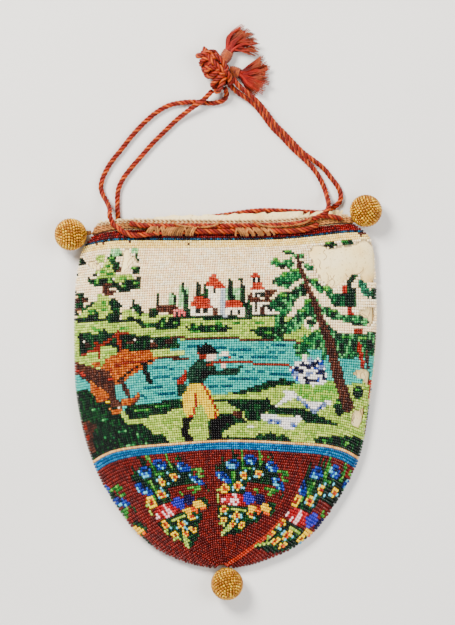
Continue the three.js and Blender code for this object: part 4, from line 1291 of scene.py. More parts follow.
def shore(p):
    p.area("lime", (-49, -6.2), (-40, -3.8), (-21, -0.4), (0, 1.6), (15, 4.8), (27, 8.6), (38, 7.6),
           (60, 8), (66, 7.8), (78, 9), (72, -34), (-72, -34), (-70, -8))
    p.area("grass", (33.5, 6.4), (45, 7.2), (58, 9), (60, 2), (57, -2), (48, -2.4), (39, 1), (36, 4.4))
    p.area("forest", (-72, 3.4), (-66.6, 4), (-63, 3), (-58, 1), (-53, -3), (-49.5, -7), (-47.6, -12),
           (-44, -13.8), (-38, -13), (-33, -18), (-27.6, -18.6), (-25, -23), (-30, -30), (-72, -36),
           (-76, -10))
    p.area("bark", (-73, -12), (-66, -12), (-61, -13.6), (-63, -17), (-64, -22), (-62, -28), (-73, -30))
    p.spots("rail", 0.9, 1.2, (-67, -15), (-65.6, -20), (-66.6, -25))
    p.spots("bough", 2.4, 0.8, (-58, -11), (-48, -17), (-55, -20), (-40, -19), (-36, -23), (-62, -6),
            (-45, -24))
    p.area("forest", (-48, -5), (-40, -3), (-32, -2.4), (-24, -0.6), (-15, -1.4), (-16, -4.4),
           (-23, -5.2), (-25.6, -7.4), (-33, -8.6), (-37, -10.4), (-45, -11.2))
    p.line("leaf", 0.9, (-42, -6.4), (-34, -5.2), (-24, -3))
    p.area("forest", (5.3, 2.5), (14, 4.8), (18.7, 6.6), (25.1, 8.7), (29.8, 9.5), (36.2, 8.7), (39, 6.9),
           (31.6, 6.2), (27.9, 5.7), (22.4, 3.7), (15.9, 2.6), (10.3, 2))
    p.area("forest", (-3.1, -0.8), (11.7, -0.4), (24.2, -0.2), (25.1, -2.6), (30.7, -4.9), (36.2, -4.8),
           (42.2, -5.8), (59.3, -13.2), (58.9, -14.4), (52.4, -12.9), (41.8, -12), (39, -9.6),
           (22.4, -7.2), (19.6, -9.1), (20.5, -11.9), (13.1, -11.9), (12.2, -7.2), (6.2, -4), (3.9, -2.2),
           (-3.1, -1.9))
    p.area("forest", (-6, -12), (-0.8, -8), (5.7, -7.5), (12.4, -10.6), (14, -11.9), (8, -12.6),
           (5.3, -14.6), (0.6, -17.9), (-4, -21.6), (-6, -21))
    p.area("bark", (6.2, -6.2), (9.9, -6), (11.7, -8.6), (11.3, -10.5), (8.5, -10), (6.2, -7.7))
    p.area("forest", (-5, -23), (3.4, -18.8), (8.5, -19.4), (16.4, -20.1), (19.6, -17.9), (22.4, -18.3),
           (25.1, -16.6), (28.4, -19.2), (31.1, -18.3), (33.9, -19.6), (36.4, -22), (36.4, -25),
           (-5, -25))
    p.area("forest", (46, -20.6), (52, -19), (60, -19.6), (66, -19.4), (72, -22), (72, -34), (60, -28),
           (50, -24.6))
    p.spots("forest", 3.2, 4.4, (60, -4.6))
    p.spots("forest", 2.6, 3.4, (69, 2.4))
    p.spots("leaf", 1.3, 1.2, (59, -2.4), (68.4, 4), (52, -21.6), (63, -23))
    p.spots("red", 1.0, 2.2, (75.4, 3), (75, 7.6))


def hunter(p):
    p.area("red", (-21.4, 8), (-17, 13.8), (-14.6, 12.8), (-16, 9), (-18, 6.4), (-21, 6.8))
    p.area("coat", (-21.4, 6.6), (-16.8, 6.4), (-17, 1), (-20.6, 1))
    p.area("yellow", (-14.6, 7.4), (-9, 7.8), (-4.6, 3), (-2.6, -3), (-0.6, -8), (-2.6, -10.2),
           (-6.2, -9.8), (-8.2, -4), (-12, -3), (-13, -9), (-16.8, -10.4), (-17.8, -5), (-18.8, 1))
    p.line("red", 1.1, (-12.4, 2), (-12, -3), (-13, -8), (-16, -10))
    p.line("red", 1.1, (-8.4, 7), (-4, -1), (-1.6, -6), (-2, -9.4))
    p.area("black", (-18.7, -9.8), (-12.6, -9.8), (-14.4, -11.8), (-15.9, -16.8), (-12.9, -20.4),
           (-12.9, -22), (-17.4, -22), (-19.2, -17.4))
    p.area("black", (-4.7, -11), (-0.8, -10), (5.5, -8.4), (5.8, -11.1), (1.7, -14.3), (-0.2, -17.5),
           (1.9, -20), (1.1, -22), (-4.4, -21.4), (-5.3, -17.5))
    p.area("coat", (-11, 19), (-6, 18.6), (-3, 16), (-1, 13.4), (4, 14.8), (11, 15.8), (9.6, 12.4),
           (5, 10.8), (0, 11.6), (-6, 10.4), (-9, 7.6), (-15.4, 6.8), (-16.4, 12), (-14, 16.4))
    p.area("black", (-9, 13), (-4, 13), (-6, 10.6), (-9, 9))
    p.spots("skin", 3.0, 2.1, (-4.6, 20.4))
    p.area("rail", (-11, 22.4), (-6.6, 22.4), (-6.8, 20.4), (-8.4, 18.8), (-10.8, 19.6))
    p.area("black", (-11.6, 26.4), (-9, 25.2), (-7, 27.2), (-5, 26.6), (-3, 24.6), (0, 22), (-10.8, 22))
    p.spots("wall", 2.6, 1.5, (2.4, 21.8))
    p.spots("red", 0.9, 1.1, (4.8, 20.2))
    p.line("rail", 1.2, (-6, 16.2), (0, 18.4), (16, 17.4), (36, 15.7))
    p.spots("skin", 1.9, 0.9, (2, 16.1))


def smoke(p):
    p.area("fur", (35, 14), (38, 18), (43, 19.2), (49, 19.6), (52, 17), (53.4, 11), (52, 6.6), (46, 6),
           (40, 7.4), (36.6, 10))
    p.spots("fur_shade", 1.8, 1.4, (37.6, 12), (44, 12), (50.4, 15.6), (45, 18.4))
    p.spots("navy", 1.5, 1.2, (41.1, 16.5), (46.3, 16.4), (44.2, 15.2), (49.4, 12.5), (40.4, 12.7),
            (42.7, 9.8), (46.3, 8.5), (51.9, 9.6), (43.6, 8), (51.4, 12.6), (38, 14.8), (48.4, 17.4))
    p.spots("blue", 1.1, 1.1, (36, 13), (38.2, 9.2), (49, 9.4), (47.8, 14.6), (50.6, 17.4))


def dogs(p):
    p.area("fur", (31.4, 3.8), (36.7, 4), (39, 0.8), (45.9, -2.4), (49.2, -2.4), (54.7, -0.8),
           (56.2, -2.6), (47.8, -7.2), (46.4, -7.8), (40, -2), (38.2, 0), (34.4, -0.9), (27.9, -4.7),
           (27.3, -3.4), (32.6, 0.2))
    p.line("fur_shade", 1.4, (39, -0.3), (43, -3.6), (46.4, -7.2))
    p.line("fur_shade", 1.8, (46.9, -6.8), (51.9, -3.5))
    p.area("fur", (20.3, -8.6), (23.3, -7.6), (27, -8.5), (36.2, -10.4), (39.5, -8.5), (40.5, -10.5),
           (37.2, -16), (34.4, -15.7), (30.7, -14.7), (27, -12.4), (21.4, -12.1))
    p.spots("fur_shade", 1.5, 1.3, (25.4, -11.4), (28.8, -11.9), (36.7, -13.7))
    p.spots("blue", 0.8, 0.8, (25, -11.6), (29, -12.2), (36.9, -14), (43.4, -4), (50, -4.8))
    p.spots("fur", 1.2, 0.8, (15.2, -14.2))


def front_scene(p):
    """The landscape of the photo's side, from the sky forwards."""
    for part in (sky, left_tree, left_bank, meadow, village, castle, second_tower, lake, far_bank, shore,
                 pine, bridge, dogs, hunter, smoke):
        part(p)


BACK_TREES = [(-56, 1.0), (-44, 0.8), (34, 0.9), (52, 1.15), (64, 0.85)]  # place and size of each
BACK_TRUNK = (38, 56)  # its foot and its top
BACK_TRUNK_WIDTH = 2.4
TUFTS = [(46, 9), (52.5, 7.2), (59, 5.4), (65.5, 3.6)]  # place up the trunk, and half width, of each
TUFT_HALF_HEIGHT = 3.2


def back_scene(p):
    """The hidden side: the same bands, with a plain landscape of trees and water."""
    for part in (sky, meadow, lake, shore):
        part(p)
    for x, size in BACK_TREES:
        p.line("bark", BACK_TRUNK_WIDTH, *((x, y) for y in BACK_TRUNK))
        for y, wide in TUFTS:
            p.tuft(x, y, size * wide, size * TUFT_HALF_HEIGHT)
    left_bank(p)
    castle(p)


RIM_ROWS = 3
NIGHT_ROW = 3
CREAM_ROWS = (4, 5, 6)
CREAM_SPECKS = [(-61.5, 77), (-58.5, 77.3), (-45, 77.5), (-16, 77), (70, 81.5), (72.2, 82.3)]
SPECK_SIZE = 0.8
PEACH_ROW = 87
STRIPE_ROWS = (88, 89, 90)
BASE_ROW = 91
BASE_TOP_Y = -27.0
BASE_PITCH = 1.23
BASE_MIDDLE = 22.3  # of the wedge that the spray is drawn for, in the picture
BASE_LEAN = 0.2
FRONT_RIDGES = (-0.8, -0.09, 0.68)
BACK_RIDGES = (0.68, 0.065, -0.55)
RIDGE_TURNS = np.concatenate([np.arccos(-np.array(FRONT_RIDGES)), np.pi + np.arccos(BACK_RIDGES)]) / np.pi
SPRAY_SHIFTS = (0.5, 0.0, -2.8, 0.0, 0.0, 0.0)  # how far each wedge's spray is moved right
# the rib that gets the painted highlight, from its first row and within its half width
HIGHLIGHT_RIDGE = 2
RIDGE_ROW = 114
RIDGE_HALF = 1.2
WEDGE_COLUMNS = 60
# Flowers of a spray: middle, half width, half height and lean of the blue ones, middle and size of the yellow
BLUE_FLOWERS = [(6.4, -34.2, 3.3, 2.6, 0.0), (15.5, -31.4, 3.3, 2.4, -0.1), (26.2, -33.9, 3.4, 2.5, -0.1),
                (1.8, -40.4, 3.8, 2.4, -0.55), (29.6, -41, 3.4, 2.4, -0.5)]
YELLOW_FLOWERS = [(12.3, -39.2, 1.8), (19.6, -37.6, 1.9), (9.2, -44.7, 2.0), (2.6, -46.3, 2.6),
                  (3.2, -56.8, 1.9), (10.1, -59.6, 2.0), (17.2, -57.7, 1.8), (8.9, -64.2, 1.7),
                  (13.5, -63.8, 1.6), (4, -62.6, 1.8)]
PALE_DOTS = [(10.1, -37.6), (15.1, -40.4), (12.9, -36.8), (17.3, -36), (18.2, -39.6), (22.2, -38.5),
             (10.6, -42.4), (11.9, -45.3), (7.2, -46), (7.4, -59.6), (12.8, -59.6), (11.2, -62), (4.8, -59),
             (19.4, -59.2)]
PALE_DOT_SIZE = 0.75
AMBER_SHARE = 0.45  # size and shift of the eye of a yellow flower, and the size of the red in it
AMBER_SHIFT = 0.3
RED_SHARE = 0.4
# Strokes, each with its width and ends: stems and leaves behind the flowers, blades, and lines on the rose
STEMS = [(1.3, (1.2, -30.6), (1.2, -37.6)), (1.2, (-1.6, -34.4), (-1.6, -37)), (1.3, (6.4, -27), (6.4, -32)),
         (1.2, (8.4, -28.6), (8.4, -32)), (1.3, (26.4, -28.6), (26.4, -32)),
         (1.4, (32.4, -43.6), (32.4, -46.4))]
LEAVES = [(1.6, (11, -27.4), (11.2, -34.4)), (1.6, (20.4, -27.6), (20.6, -33)),
          (1.3, (24.2, -28.8), (24.8, -30)), (1.6, (6.6, -38), (7, -42.4)),
          (1.2, (11.7, -35.6), (15, -36)), (1.2, (5.2, -42.8), (5.2, -45)),
          (1.6, (29.6, -35.8), (34.9, -36.4)), (1.4, (31.5, -38.5), (34.2, -39.5)),
          (1.4, (23.1, -43.8), (26.8, -44)), (1.6, (29.3, -44.2), (25, -46.9)),
          (1.3, (18.6, -45.4), (19.6, -47.2))]
BLADES = [(1.4, (-1.6, -46.6), (0.6, -47)), (1.6, (-0.7, -49.6), (-1.2, -55.4)),
          (1.4, (2.6, -58.4), (0.8, -60.2)), (1.5, (8, -56.6), (13.8, -56.2)),
          (1.4, (2, -64), (5.6, -64.6)), ((2.8, 1.2), (7.4, -66.4), (5.2, -69.8))]
ROSE_LINES = [(1.2, (7.6, -49), (8.8, -51.6)), *((1.1, (x, -52), (x, -54.2)) for x in (5.9, 7.6, 9.3))]
# Petals, each with its paint, half width, half height and middle
PETALS = [("blush", 1.2, 0.9, (2.1, -52.2)), ("violet", 3.1, 2.8, (15.1, -50.2)),
          ("plum", 2.9, 2.7, (20.9, -50)), ("gold", 2.5, 1.3, (17.5, -54.3)),
          ("gold", 2.7, 2.1, (24.3, -53.1)), ("amber", 2.2, 1.4, (20.6, -55.2)),
          ("amber", 1.6, 0.8, (25, -55.6)), ("red", 0.9, 0.9, (20.9, -54))]


def spray(p):
    """A spray of flowers, the same in each wedge of the base."""
    p.area("forest", (-1.6, -35), (1.6, -41), (4.4, -48), (13, -48.6), (13.6, -42), (22, -41.8), (29, -42.6),
           (30, -37), (27, -32.6), (20, -31.4), (10, -31.4), (3, -32))
    p.area("forest", (-1, -54.6), (6, -54), (20, -56), (26, -49.4), (29.4, -50), (29.2, -55), (23.2, -56.4),
           (21.9, -59.9), (18.2, -62.4), (16, -64.8), (14.1, -68.2), (8, -70.4), (5.4, -71), (4.6, -65),
           (0.4, -60))
    p.lines("forest", STEMS)
    p.lines("leaf", LEAVES)
    for flower in BLUE_FLOWERS:
        p.bloom(*flower)
    for x, y, size in YELLOW_FLOWERS:
        p.spots("gold", size, size, (x, y))
        p.spots("amber", size * AMBER_SHARE, size * AMBER_SHARE, (x + AMBER_SHIFT, y - AMBER_SHIFT))
        p.spots("red", size * RED_SHARE, size * RED_SHARE, (x, y))
    p.spots("cyan", PALE_DOT_SIZE, PALE_DOT_SIZE, *PALE_DOTS)
    p.area("rose", (4.6, -48.4), (10, -48.4), (13, -50.4), (14.4, -52.2), (11, -54.5), (5.4, -54.5),
           (1, -52.2), (1.4, -50.6))
    p.lines("blush", ROSE_LINES)
    for petal in PETALS:
        p.spots(*petal)
    p.lines("lime", BLADES)


# Beads: one dome each, laid row by row round the bag

BEAD_ROWS = 139
TUBE_BEADS = 252
BEAD_PITCH = 1.13
BEAD_SIDES = {True: 8, False: 5}  # on the front, and on the hidden back
BEAD_FOOT = 0.8
BEAD_RISE = (0.6, 1.5)
BEAD_RINGS = ((1.0, 0.1), (0.82, 0.72))  # share of the width, and height, of each ring of points
BEAD_SQUARENESS = 3.0
BEAD_TALL = (0.4, 1.0)
TALL_SHARE = 1.02
BEAD_STRAY = 0.045
BEAD_WEAR = (0.86, 1.1)
CELL_HALF = 0.4  # half size of a bead in its cell of the flat map, and how far its top is drawn in there
CELL_TAPER = 0.35
RIB_HEIGHT = 0.5
RIB_REACH = 0.9


def tube_row(row):
    """Turns, half pitches, no places in wedges, and columns of a row of the straight part."""
    turn, length = even_turns(row + HALF_ROW, (np.arange(TUBE_BEADS) + 0.5) / TUBE_BEADS)
    half = np.full(TUBE_BEADS, length / TUBE_BEADS / 2)
    none = np.zeros(TUBE_BEADS)
    return turn, half, none, none, none.astype(int), np.arange(TUBE_BEADS)


def base_row(row):
    """Turns, half pitches, places from a wedge's middle, ways to its ridge, wedges and columns of a row."""
    turn, run = ring_run(row + HALF_ROW)
    starts = np.interp(RIDGE_TURNS, turn, run)
    widths = np.diff(np.append(starts, starts[0] + run[-1]))
    made = []
    for wedge, (start, width) in enumerate(zip(starts, widths)):
        count = max(1, int(round(width / BEAD_PITCH)))
        place = ((np.arange(count) + 0.5) / count - 0.5) * width
        at = np.mod(start + width / 2 + place, run[-1])
        col = np.floor(place / BEAD_PITCH) + WEDGE_COLUMNS * (wedge + 0.5)
        made.append((np.interp(at, run, turn), np.full(count, width / count / 2), place,
                     width / 2 - np.abs(place), np.full(count, wedge), col))
    return [np.concatenate(values) for values in zip(*made)]


def bead_rows():
    """Place, direction and position in the pattern of every bead."""
    made = []
    for row in range(BEAD_ROWS):
        turn, half, in_wedge, to_ridge, wedge, col = tube_row(row) if row < BASE_ROW else base_row(row)
        level = np.full(len(turn), row + HALF_ROW)
        foot = round_wall(turn, level, BEAD_FOOT)
        along, down, out, pitch = outward(turn, level, BEAD_FOOT)
        rise = np.sum((round_wall(turn, level) - foot) * out, axis=1)
        made.append(dict(
            foot=foot, along=along, down=down, out=out, row=np.full(len(turn), row), col=col,
            front=np.mod(turn, 2) <= 1, half=half, tall=np.clip(pitch / 2 * TALL_SHARE, *BEAD_TALL),
            rise=np.clip(rise, *BEAD_RISE), in_wedge=in_wedge, to_ridge=to_ridge, wedge=wedge))
    return {key: np.concatenate([m[key] for m in made]) for key in made[0]}


def bead_colours(beads):
    """A colour for each bead: the landscape, the base with its sprays, the plain rows, and some wear."""
    x, y = beads["foot"][:, 0], beads["foot"][:, 1]
    row, col = beads["row"].astype(float), beads["col"].astype(float)
    scene = Picture(x, y, col, row)
    front_scene(scene)
    hidden = Picture(-x, y, col, row)
    back_scene(hidden)
    depth = (row - BASE_ROW) * BASE_PITCH
    across = BASE_MIDDLE - BASE_LEAN * depth + beads["in_wedge"] - np.array(SPRAY_SHIFTS)[beads["wedge"]]
    base = Picture(across, BASE_TOP_Y - depth, col, row)
    base.put(row >= BASE_ROW, "base")
    ridge = np.mod(beads["wedge"] + (beads["in_wedge"] > 0), len(SPRAY_SHIFTS))
    # painted highlight along one raised rib of the base
    base.put((row >= RIDGE_ROW) & (beads["to_ridge"] < RIDGE_HALF) & (ridge == HIGHLIGHT_RIDGE), "ridge")
    spray(base)
    bands = Picture(x, y, col, row)
    bands.rgb = np.where(beads["front"][:, None], scene.rgb, hidden.rgb)
    bands.rgb = np.where((row >= BASE_ROW)[:, None], base.rgb, bands.rgb)
    bands.put(row < RIM_ROWS, "rim")
    bands.put(row == NIGHT_ROW, "night")
    bands.put(np.isin(row, CREAM_ROWS), "cream")
    bands.spots("bark", SPECK_SIZE, SPECK_SIZE, *CREAM_SPECKS)
    bands.put(row == PEACH_ROW, "peach")
    bands.put(np.isin(row, STRIPE_ROWS), "stripe")
    least, most = BEAD_WEAR
    worn = least + (most - least) * scatter(col + WEAR_SEED[0], row + WEAR_SEED[1])
    return bands.rgb * worn[:, None]


# First row of each band, and the row after its last
BANDS = {
    "beads_rim": (0, 7), "beads_upper": (7, 36), "beads_middle": (36, 62), "beads_lower": (62, 87),
    "beads_base": (87, 112), "beads_foot": (112, BEAD_ROWS),
}


def bead_shape(sides):
    """One bead as points and triangles: a dome on a rounded square."""
    angle = 2 * np.pi * (np.arange(sides) + 0.5) / sides
    cos, sin = np.cos(angle), np.sin(angle)
    swell = (np.abs(cos) ** BEAD_SQUARENESS + np.abs(sin) ** BEAD_SQUARENESS) ** (-1 / BEAD_SQUARENESS)
    points = [(r * w * c, r * w * n, h) for r, h in BEAD_RINGS for w, c, n in zip(swell, cos, sin)]
    points.append((0, 0, 1.0))
    k = np.arange(sides)
    k_next = (k + 1) % sides
    rim = [np.stack([k, k_next + sides, k_next], 1), np.stack([k, k + sides, k_next + sides], 1)]
    top = np.stack([k + sides, np.full(sides, 2 * sides), k_next + sides], 1)
    return np.array(points), np.concatenate([*rim, top])


def bead_group(beads, colours, keep, sides):
    """Points, triangles, colours, flat map places and number of the beads that are kept."""
    shape, one = bead_shape(sides)
    kept = {key: values[keep] for key, values in beads.items()}
    count = len(kept["row"])
    rib = RIB_HEIGHT * np.exp(-(kept["to_ridge"] / RIB_REACH) ** 2)
    lift = np.where((kept["row"] > BASE_ROW) & kept["front"], rib, 0.0)
    jolt = RNG.normal(0, BEAD_STRAY, (count, 2))
    centre = kept["foot"] + kept["out"] * lift[:, None]
    centre = centre + kept["along"] * jolt[:, :1] + kept["down"] * jolt[:, 1:]
    verts = centre[:, None]
    for i, (way, size) in enumerate((("along", "half"), ("down", "tall"), ("out", "rise"))):
        verts = verts + kept[way][:, None] * (shape[:, i] * kept[size][:, None])[..., None]
    verts[..., 2] = np.maximum(verts[..., 2], 0.0)
    faces = (one[None] + (np.arange(count) * len(shape))[:, None, None]).reshape(-1, 3)
    flat = 0.5 + CELL_HALF * shape[:, :2] * (1 - CELL_TAPER * shape[:, 2:])
    tints = np.repeat(colours[keep], len(shape), axis=0)
    return verts.reshape(-1, 3), faces, tints, np.tile(flat, (count, 1)), count


def bead_mesh(name, beads, colours, keep):
    """One band of beads, each with its own cell of the flat map."""
    groups = [bead_group(beads, colours, keep & (beads["front"] == front), sides)
              for front, sides in BEAD_SIDES.items()]
    points, faces = joined([group[:2] for group in groups])
    piece = mesh_piece(name, points, faces, BEAD, "beads")
    paint_points(piece, np.concatenate([group[2] for group in groups]))
    total = sum(group[4] for group in groups)
    cells = math.ceil(math.sqrt(total))
    first = 0
    places = []
    for verts, _, _, flat, count in groups:
        number = np.repeat(first + np.arange(count), len(verts) // max(count, 1))
        places.append((np.stack([number % cells, number // cells], axis=1) + flat) / cells)
        first += count
    layer = piece.data.uv_layers.new(name="OFBake")
    layer.data.foreach_set("uv", np.concatenate(places)[faces.ravel()].astype(np.float32).ravel())


BEADS = bead_rows()
COLOURS = bead_colours(BEADS)
PRESENT = ~(lost(BEADS["foot"]) & BEADS["front"])
for band, (first, end) in BANDS.items():
    bead_mesh(band, BEADS, COLOURS, PRESENT & (BEADS["row"] >= first) & (BEADS["row"] < end))


# Knitted ground under the beads, with painted light and shade: the colour of the glass above it, darkened

GROUND_TURNS = np.linspace(0, 2, 200, endpoint=False)
GROUND_ROWS = np.linspace(0, BEAD_ROWS, 114)
GROUND_INSET = 0.82
GROUND_THICKNESS = 0.3
# painted light and shade: the ground takes the nearest bead's colour as painted light from the glass,
# darkened as painted shade between the beads
GROUND_GLASS_LIGHT_AND_SHADE = (0.52, 0.36)  # share of a dark bead's colour, and what a white one adds to it


def ground_piece():
    rows = np.broadcast_to(GROUND_ROWS[:, None], (len(GROUND_ROWS), len(GROUND_TURNS)))
    piece, verts = bag_sheet("knitted_ground", GROUND_TURNS, rows, GROUND_INSET, GROUND_THICKNESS, GROUND,
                             "beads", True)
    tree = KDTree(len(BEADS["foot"]))
    for i, place in enumerate(BEADS["foot"]):
        tree.insert(place, i)
    tree.balance()
    nearest = [tree.find(place)[1] for place in verts]
    tints = COLOURS[nearest]
    # painted light from the nearest bead, and painted shade between the beads
    paint_points(piece, tints * (GROUND_GLASS_LIGHT_AND_SHADE[0] + GROUND_GLASS_LIGHT_AND_SHADE[1] * tints.mean(axis=1, keepdims=True)))
    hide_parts("bead_shell")


ground_piece()


# Heading: a crocheted band round the mouth, with bars over the cords

HEADING_ROWS = np.linspace(MOUTH_ROW, -0.4, 7)
HEADING_COLUMNS = 160
HEADING_INSETS = (0.2, 0.95)  # of its outer and its inner wall
HEADING_STITCHES = 118
STITCH_ROWS = (-4.7, -3.0, -1.3)
STITCH_INSET = 0.05
STITCH_LONG = (1.35, 0.55)  # half axes of a loop, each by its reach along the row and down
STITCH_SHORT = (-0.1, 0.62)
STITCH_CURL = 0.18
STITCH_POINTS = 12
STITCH_THREAD = 0.36
STITCH_SIDES = 5
STITCH_WEAR = (0.75, 1.25)
# Spans of the chains and of the rows of stitches on the front
SCALLOPS = [(-0.34, -0.06), (0.3, 0.66)]
SLEEVES = [(-0.55, -0.2), (0.1, 0.36)]
# Points of a chain and of a holding stitch: leans from the place, row, and height above the front
SCALLOP_LEAN = 0.05
SCALLOP_END = [(-1, -5.0, 0.6), (-0.8, -4.6, 3.6), (-0.2, -3.0, 4.2), (1, -1.9, 3.4)]
SCALLOP_RUN = (-1.7, 2.6)
SCALLOP_RUN_START = 2.2
SCALLOP_RUN_POINTS = 4
SLEEVE_LEAN = 0.012
SLEEVE_POINTS = [(-1, -1.4, 0.5), (-1, -1.3, 2.5), (0, 0.3, 3.95), (1, 1.9, 2.4), (1, 2.2, 0.8)]
SLEEVE_STEP = 0.016
SLEEVE_PATH_STEP = 0.6
SLEEVE_THREAD = 0.45
SLEEVE_SIDES = 6
SLEEVE_WEAR = (0.45, 1.2)
CHAIN = 1.2
CHAIN_LAY = 2.6
CHAIN_STEP = 0.5
# dark brown of the band under the loops: partly the thread's own colour, partly painted shade between the
# stitches
BAND_SHADE = linear((122, 74, 36))
STITCH_SHADE = linear((202, 140, 74))
EDGE_SHADE = linear((250, 222, 172))
CHAIN_SHADE = linear((200, 138, 70))
SLEEVE_SHADE = linear((206, 142, 74))


def heading_band():
    """The plain band that the stitches lie on, closed round its two walls."""
    turn = np.linspace(0, 2, HEADING_COLUMNS, endpoint=False)
    outer, inner = HEADING_INSETS
    levels = [(row, outer) for row in HEADING_ROWS] + [(row, inner) for row in HEADING_ROWS[::-1]]
    grid = np.stack([round_wall(turn, np.full(HEADING_COLUMNS, row), inset) for row, inset in levels])
    return grid.reshape(-1, 3), halved(grid_quads(len(grid), HEADING_COLUMNS, closed=True))


def stitch_loop(centre, along, down, out):
    """One crocheted loop that lies slanting on the band."""
    around = np.linspace(0, 2 * np.pi, STITCH_POINTS, endpoint=False)[:, None]
    long, short = (along * a + down * d for a, d in (STITCH_LONG, STITCH_SHORT))
    loop = centre + long * np.cos(around) + short * np.sin(around) + out * STITCH_CURL * np.cos(2 * around)
    loop[:, 2] = np.maximum(loop[:, 2], STITCH_THREAD)
    return swept(loop, STITCH_THREAD, STITCH_SIDES, closed=True)


def scallop(first, last):
    """A crocheted chain that crosses the upper cord at both ends and runs between the cords."""
    run = SCALLOP_RUN_START * SCALLOP_LEAN
    points = [(first + lean * SCALLOP_LEAN, row, height) for lean, row, height in SCALLOP_END]
    points += [(s, *SCALLOP_RUN) for s in np.linspace(first + run, last - run, SCALLOP_RUN_POINTS)]
    points += [(last - lean * SCALLOP_LEAN, row, height) for lean, row, height in reversed(SCALLOP_END)]
    path = resampled(catmull([on_front(*point) for point in points]), CHAIN_STEP)
    return rope(path, CHAIN, CHAIN_LAY, sides=5, strands=2)


def sleeve_stitch(s):
    """One stitch that holds the lower cord down."""
    way = SLEEVE_LEAN * (1 if RNG.random() < 0.5 else -1)
    points = [on_front(s + lean * way, row, height) for lean, row, height in SLEEVE_POINTS]
    return swept(resampled(catmull(points), SLEEVE_PATH_STEP), SLEEVE_THREAD, SLEEVE_SIDES)


def heading_piece():
    parts = [heading_band()]
    shades = [BAND_SHADE]
    for level, row in enumerate(STITCH_ROWS):
        turns, _ = even_turns(row, (np.arange(HEADING_STITCHES) + 0.5 * (level % 2)) / HEADING_STITCHES)
        rows = np.full(HEADING_STITCHES, row)
        along, down, out, _ = outward(turns, rows)
        for place in zip(round_wall(turns, rows, STITCH_INSET), along, down, out):
            parts.append(stitch_loop(*place))
            shades.append((STITCH_SHADE if level else EDGE_SHADE) * between(*STITCH_WEAR))
    for span in SCALLOPS:
        parts.append(scallop(*span))
        shades.append(CHAIN_SHADE)
    for span in SLEEVES:
        for s in np.arange(*span, SLEEVE_STEP):
            parts.append(sleeve_stitch(s))
            shades.append(SLEEVE_SHADE * between(*SLEEVE_WEAR))
    piece = mesh_piece("crocheted_heading", *joined(parts), CROCHET, "crochet")
    paint_points(piece, np.repeat(shades, [len(verts) for verts, _ in parts], axis=0))
    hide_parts("heading")


heading_piece()


# Balls: rows of gold beads over a core, sewn on with a shank of thread

BALL_RADIUS = 8.25
BALL_BEAD = 0.74
BALL_REACH = BALL_RADIUS - BALL_BEAD
BALL_ROW_PITCH = 0.96  # in bead widths, from row to row and within a row
BALL_BEAD_PITCH = 1.02
BALL_CORE_GAP = 0.2
SHANK_START = BALL_RADIUS - 1.2
SHANK_DIAMETER = 2.6
SHANK_LAY = 4.0
SHANK_STEP = 0.5
# Each ball: its place, and the point that it is sewn to
BALLS = {
    "ball_left": ((-74.8, 81.6), (-64.8, 82.4, 6)),
    "ball_right": ((73, 93.4), (65.6, 88.8, 6)),
    "ball_foot": ((3.5, -93.4), (1.2, -86, 4)),
}
GOLDS = linear([(206, 144, 8), (192, 130, 6), (220, 162, 16), (172, 108, 4), (236, 188, 40)])


def sphere(segments, rings):
    """A unit sphere as points and triangles."""
    theta = np.linspace(0, np.pi, rings + 1)[1:-1]
    phi = np.linspace(0, 2 * np.pi, segments, endpoint=False)
    points = [(0, 0, 1)]
    for t in theta:
        points += [(math.sin(t) * math.cos(f), math.sin(t) * math.sin(f), math.cos(t)) for f in phi]
    points.append((0, 0, -1))
    last = len(points) - 1
    low = last - segments
    faces = []
    for k in range(segments):
        k_next = (k + 1) % segments
        faces.append((0, 1 + k, 1 + k_next))
        for ring in range(rings - 2):
            a, b = 1 + ring * segments, 1 + (ring + 1) * segments
            faces.append((a + k, b + k, b + k_next))
            faces.append((a + k, b + k_next, a + k_next))
        faces.append((low + k, last, low + k_next))
    return np.array(points, dtype=float), np.array(faces)


def bead_spots(axis):
    """Directions of the beads of a ball, in rows round an axis."""
    side = unit(np.cross(axis, UP))
    other = np.cross(axis, side)
    rows = int(round(math.pi * BALL_REACH / (2 * BALL_BEAD * BALL_ROW_PITCH)))
    spots = []
    for row in range(rows + 1):
        theta = math.pi * row / rows
        around = 2 * math.pi * BALL_REACH * math.sin(theta)
        count = max(1, int(round(around / (2 * BALL_BEAD * BALL_BEAD_PITCH))))
        for k in range(count):
            phi = 2 * math.pi * (k + 0.5 * (row % 2)) / count
            away = side * math.cos(phi) + other * math.sin(phi)
            spots.append(axis * math.cos(theta) + away * math.sin(theta))
    return np.array(spots)


def ball_pieces(name, spot, sewn_to):
    centre = np.array((*spot, BALL_RADIUS))
    axis = unit(centre - np.array(sewn_to))
    spots = bead_spots(axis)
    bead, bead_faces = sphere(segments=8, rings=5)
    verts = centre + spots[:, None] * BALL_REACH + bead[None] * BALL_BEAD
    faces = bead_faces[None] + (np.arange(len(spots)) * len(bead))[:, None, None]
    piece = mesh_piece(name + "_beads", verts.reshape(-1, 3), faces.reshape(-1, 3), GOLD, "gold_beads")
    shades = GOLDS[RNG.integers(0, len(GOLDS), len(spots))]
    paint_points(piece, np.repeat(shades, len(bead), axis=0))
    core, core_faces = sphere(segments=20, rings=14)
    core = centre + core * (BALL_REACH - BALL_CORE_GAP)
    shank = resampled(np.array((centre - axis * SHANK_START, sewn_to)), SHANK_STEP)
    thread = rope(shank, SHANK_DIAMETER, SHANK_LAY, sides=6)
    mesh_piece(name + "_core", *joined([(core, core_faces), thread]), BALL_CORE, "gold_beads")
    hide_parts(name)


for ball, (spot, sewn_to) in BALLS.items():
    ball_pieces(ball, spot, sewn_to)


# Floor and light, in metres

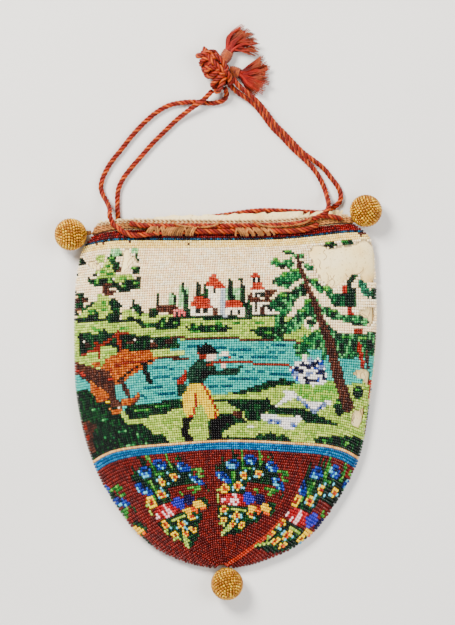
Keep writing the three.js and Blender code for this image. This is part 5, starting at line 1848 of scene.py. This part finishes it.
FLOOR_HALF = 3.0
FLOOR_LEVEL = -0.0002
FLOOR_CORNERS = [(-FLOOR_HALF, -FLOOR_HALF, FLOOR_LEVEL), (FLOOR_HALF, -FLOOR_HALF, FLOOR_LEVEL),
                 (FLOOR_HALF, FLOOR_HALF, FLOOR_LEVEL), (-FLOOR_HALF, FLOOR_HALF, FLOOR_LEVEL)]
LIGHT_TARGET = np.array((0.0, 0.03, 0.0))
LIGHTS = {
    "key": dict(place=(-0.55, 0.7, 0.95), power=43.0, size=0.45, colour=(1.0, 0.97, 0.92)),
    "fill": dict(place=(0.7, 0.1, 0.9), power=13.0, size=0.7, colour=(0.98, 0.98, 1.0)),
    "low": dict(place=(0.0, -0.8, 0.7), power=7.0, size=0.7, colour=(1.0, 1.0, 1.0)),
}
WORLD_COLOUR = (1.0, 1.0, 1.0, 1.0)
WORLD_STRENGTH = 0.2


def floor_look():
    look = Look("pale_floor", Specular_IOR_Level=0.2)
    look.colour(look.ramp(look.noise(scale=6.0, detail=2.0), (0.3, (226, 223, 218)), (0.7, (232, 229, 224))))
    look.rough(look.noise(scale=40.0), low=0.75, high=0.85)
    return look.material


floor_mesh = bpy.data.meshes.new("floor")
floor_mesh.from_pydata(FLOOR_CORNERS, [], [(0, 1, 2, 3)])
floor_mesh.materials.append(floor_look())
floor = bpy.data.objects.new("floor", floor_mesh)
bpy.context.scene.collection.objects.link(floor)


def area_light(name, place, power, size, colour):
    data = bpy.data.lights.new(name, "AREA")
    data.energy = power
    data.size = size
    data.color = colour
    light = bpy.data.objects.new(name, data)
    light.location = place
    x, y, z = LIGHT_TARGET - np.array(place)
    light.rotation_euler = (math.atan2(math.hypot(x, y), -z), 0, math.atan2(x, -y) + math.pi)
    bpy.context.scene.collection.objects.link(light)


for light_name, light_values in LIGHTS.items():
    area_light(light_name, **light_values)
world = bpy.data.worlds.new("studio")
world.use_nodes = True
world.node_tree.nodes["Background"].inputs["Color"].default_value = WORLD_COLOUR
world.node_tree.nodes["Background"].inputs["Strength"].default_value = WORLD_STRENGTH
bpy.context.scene.world = world
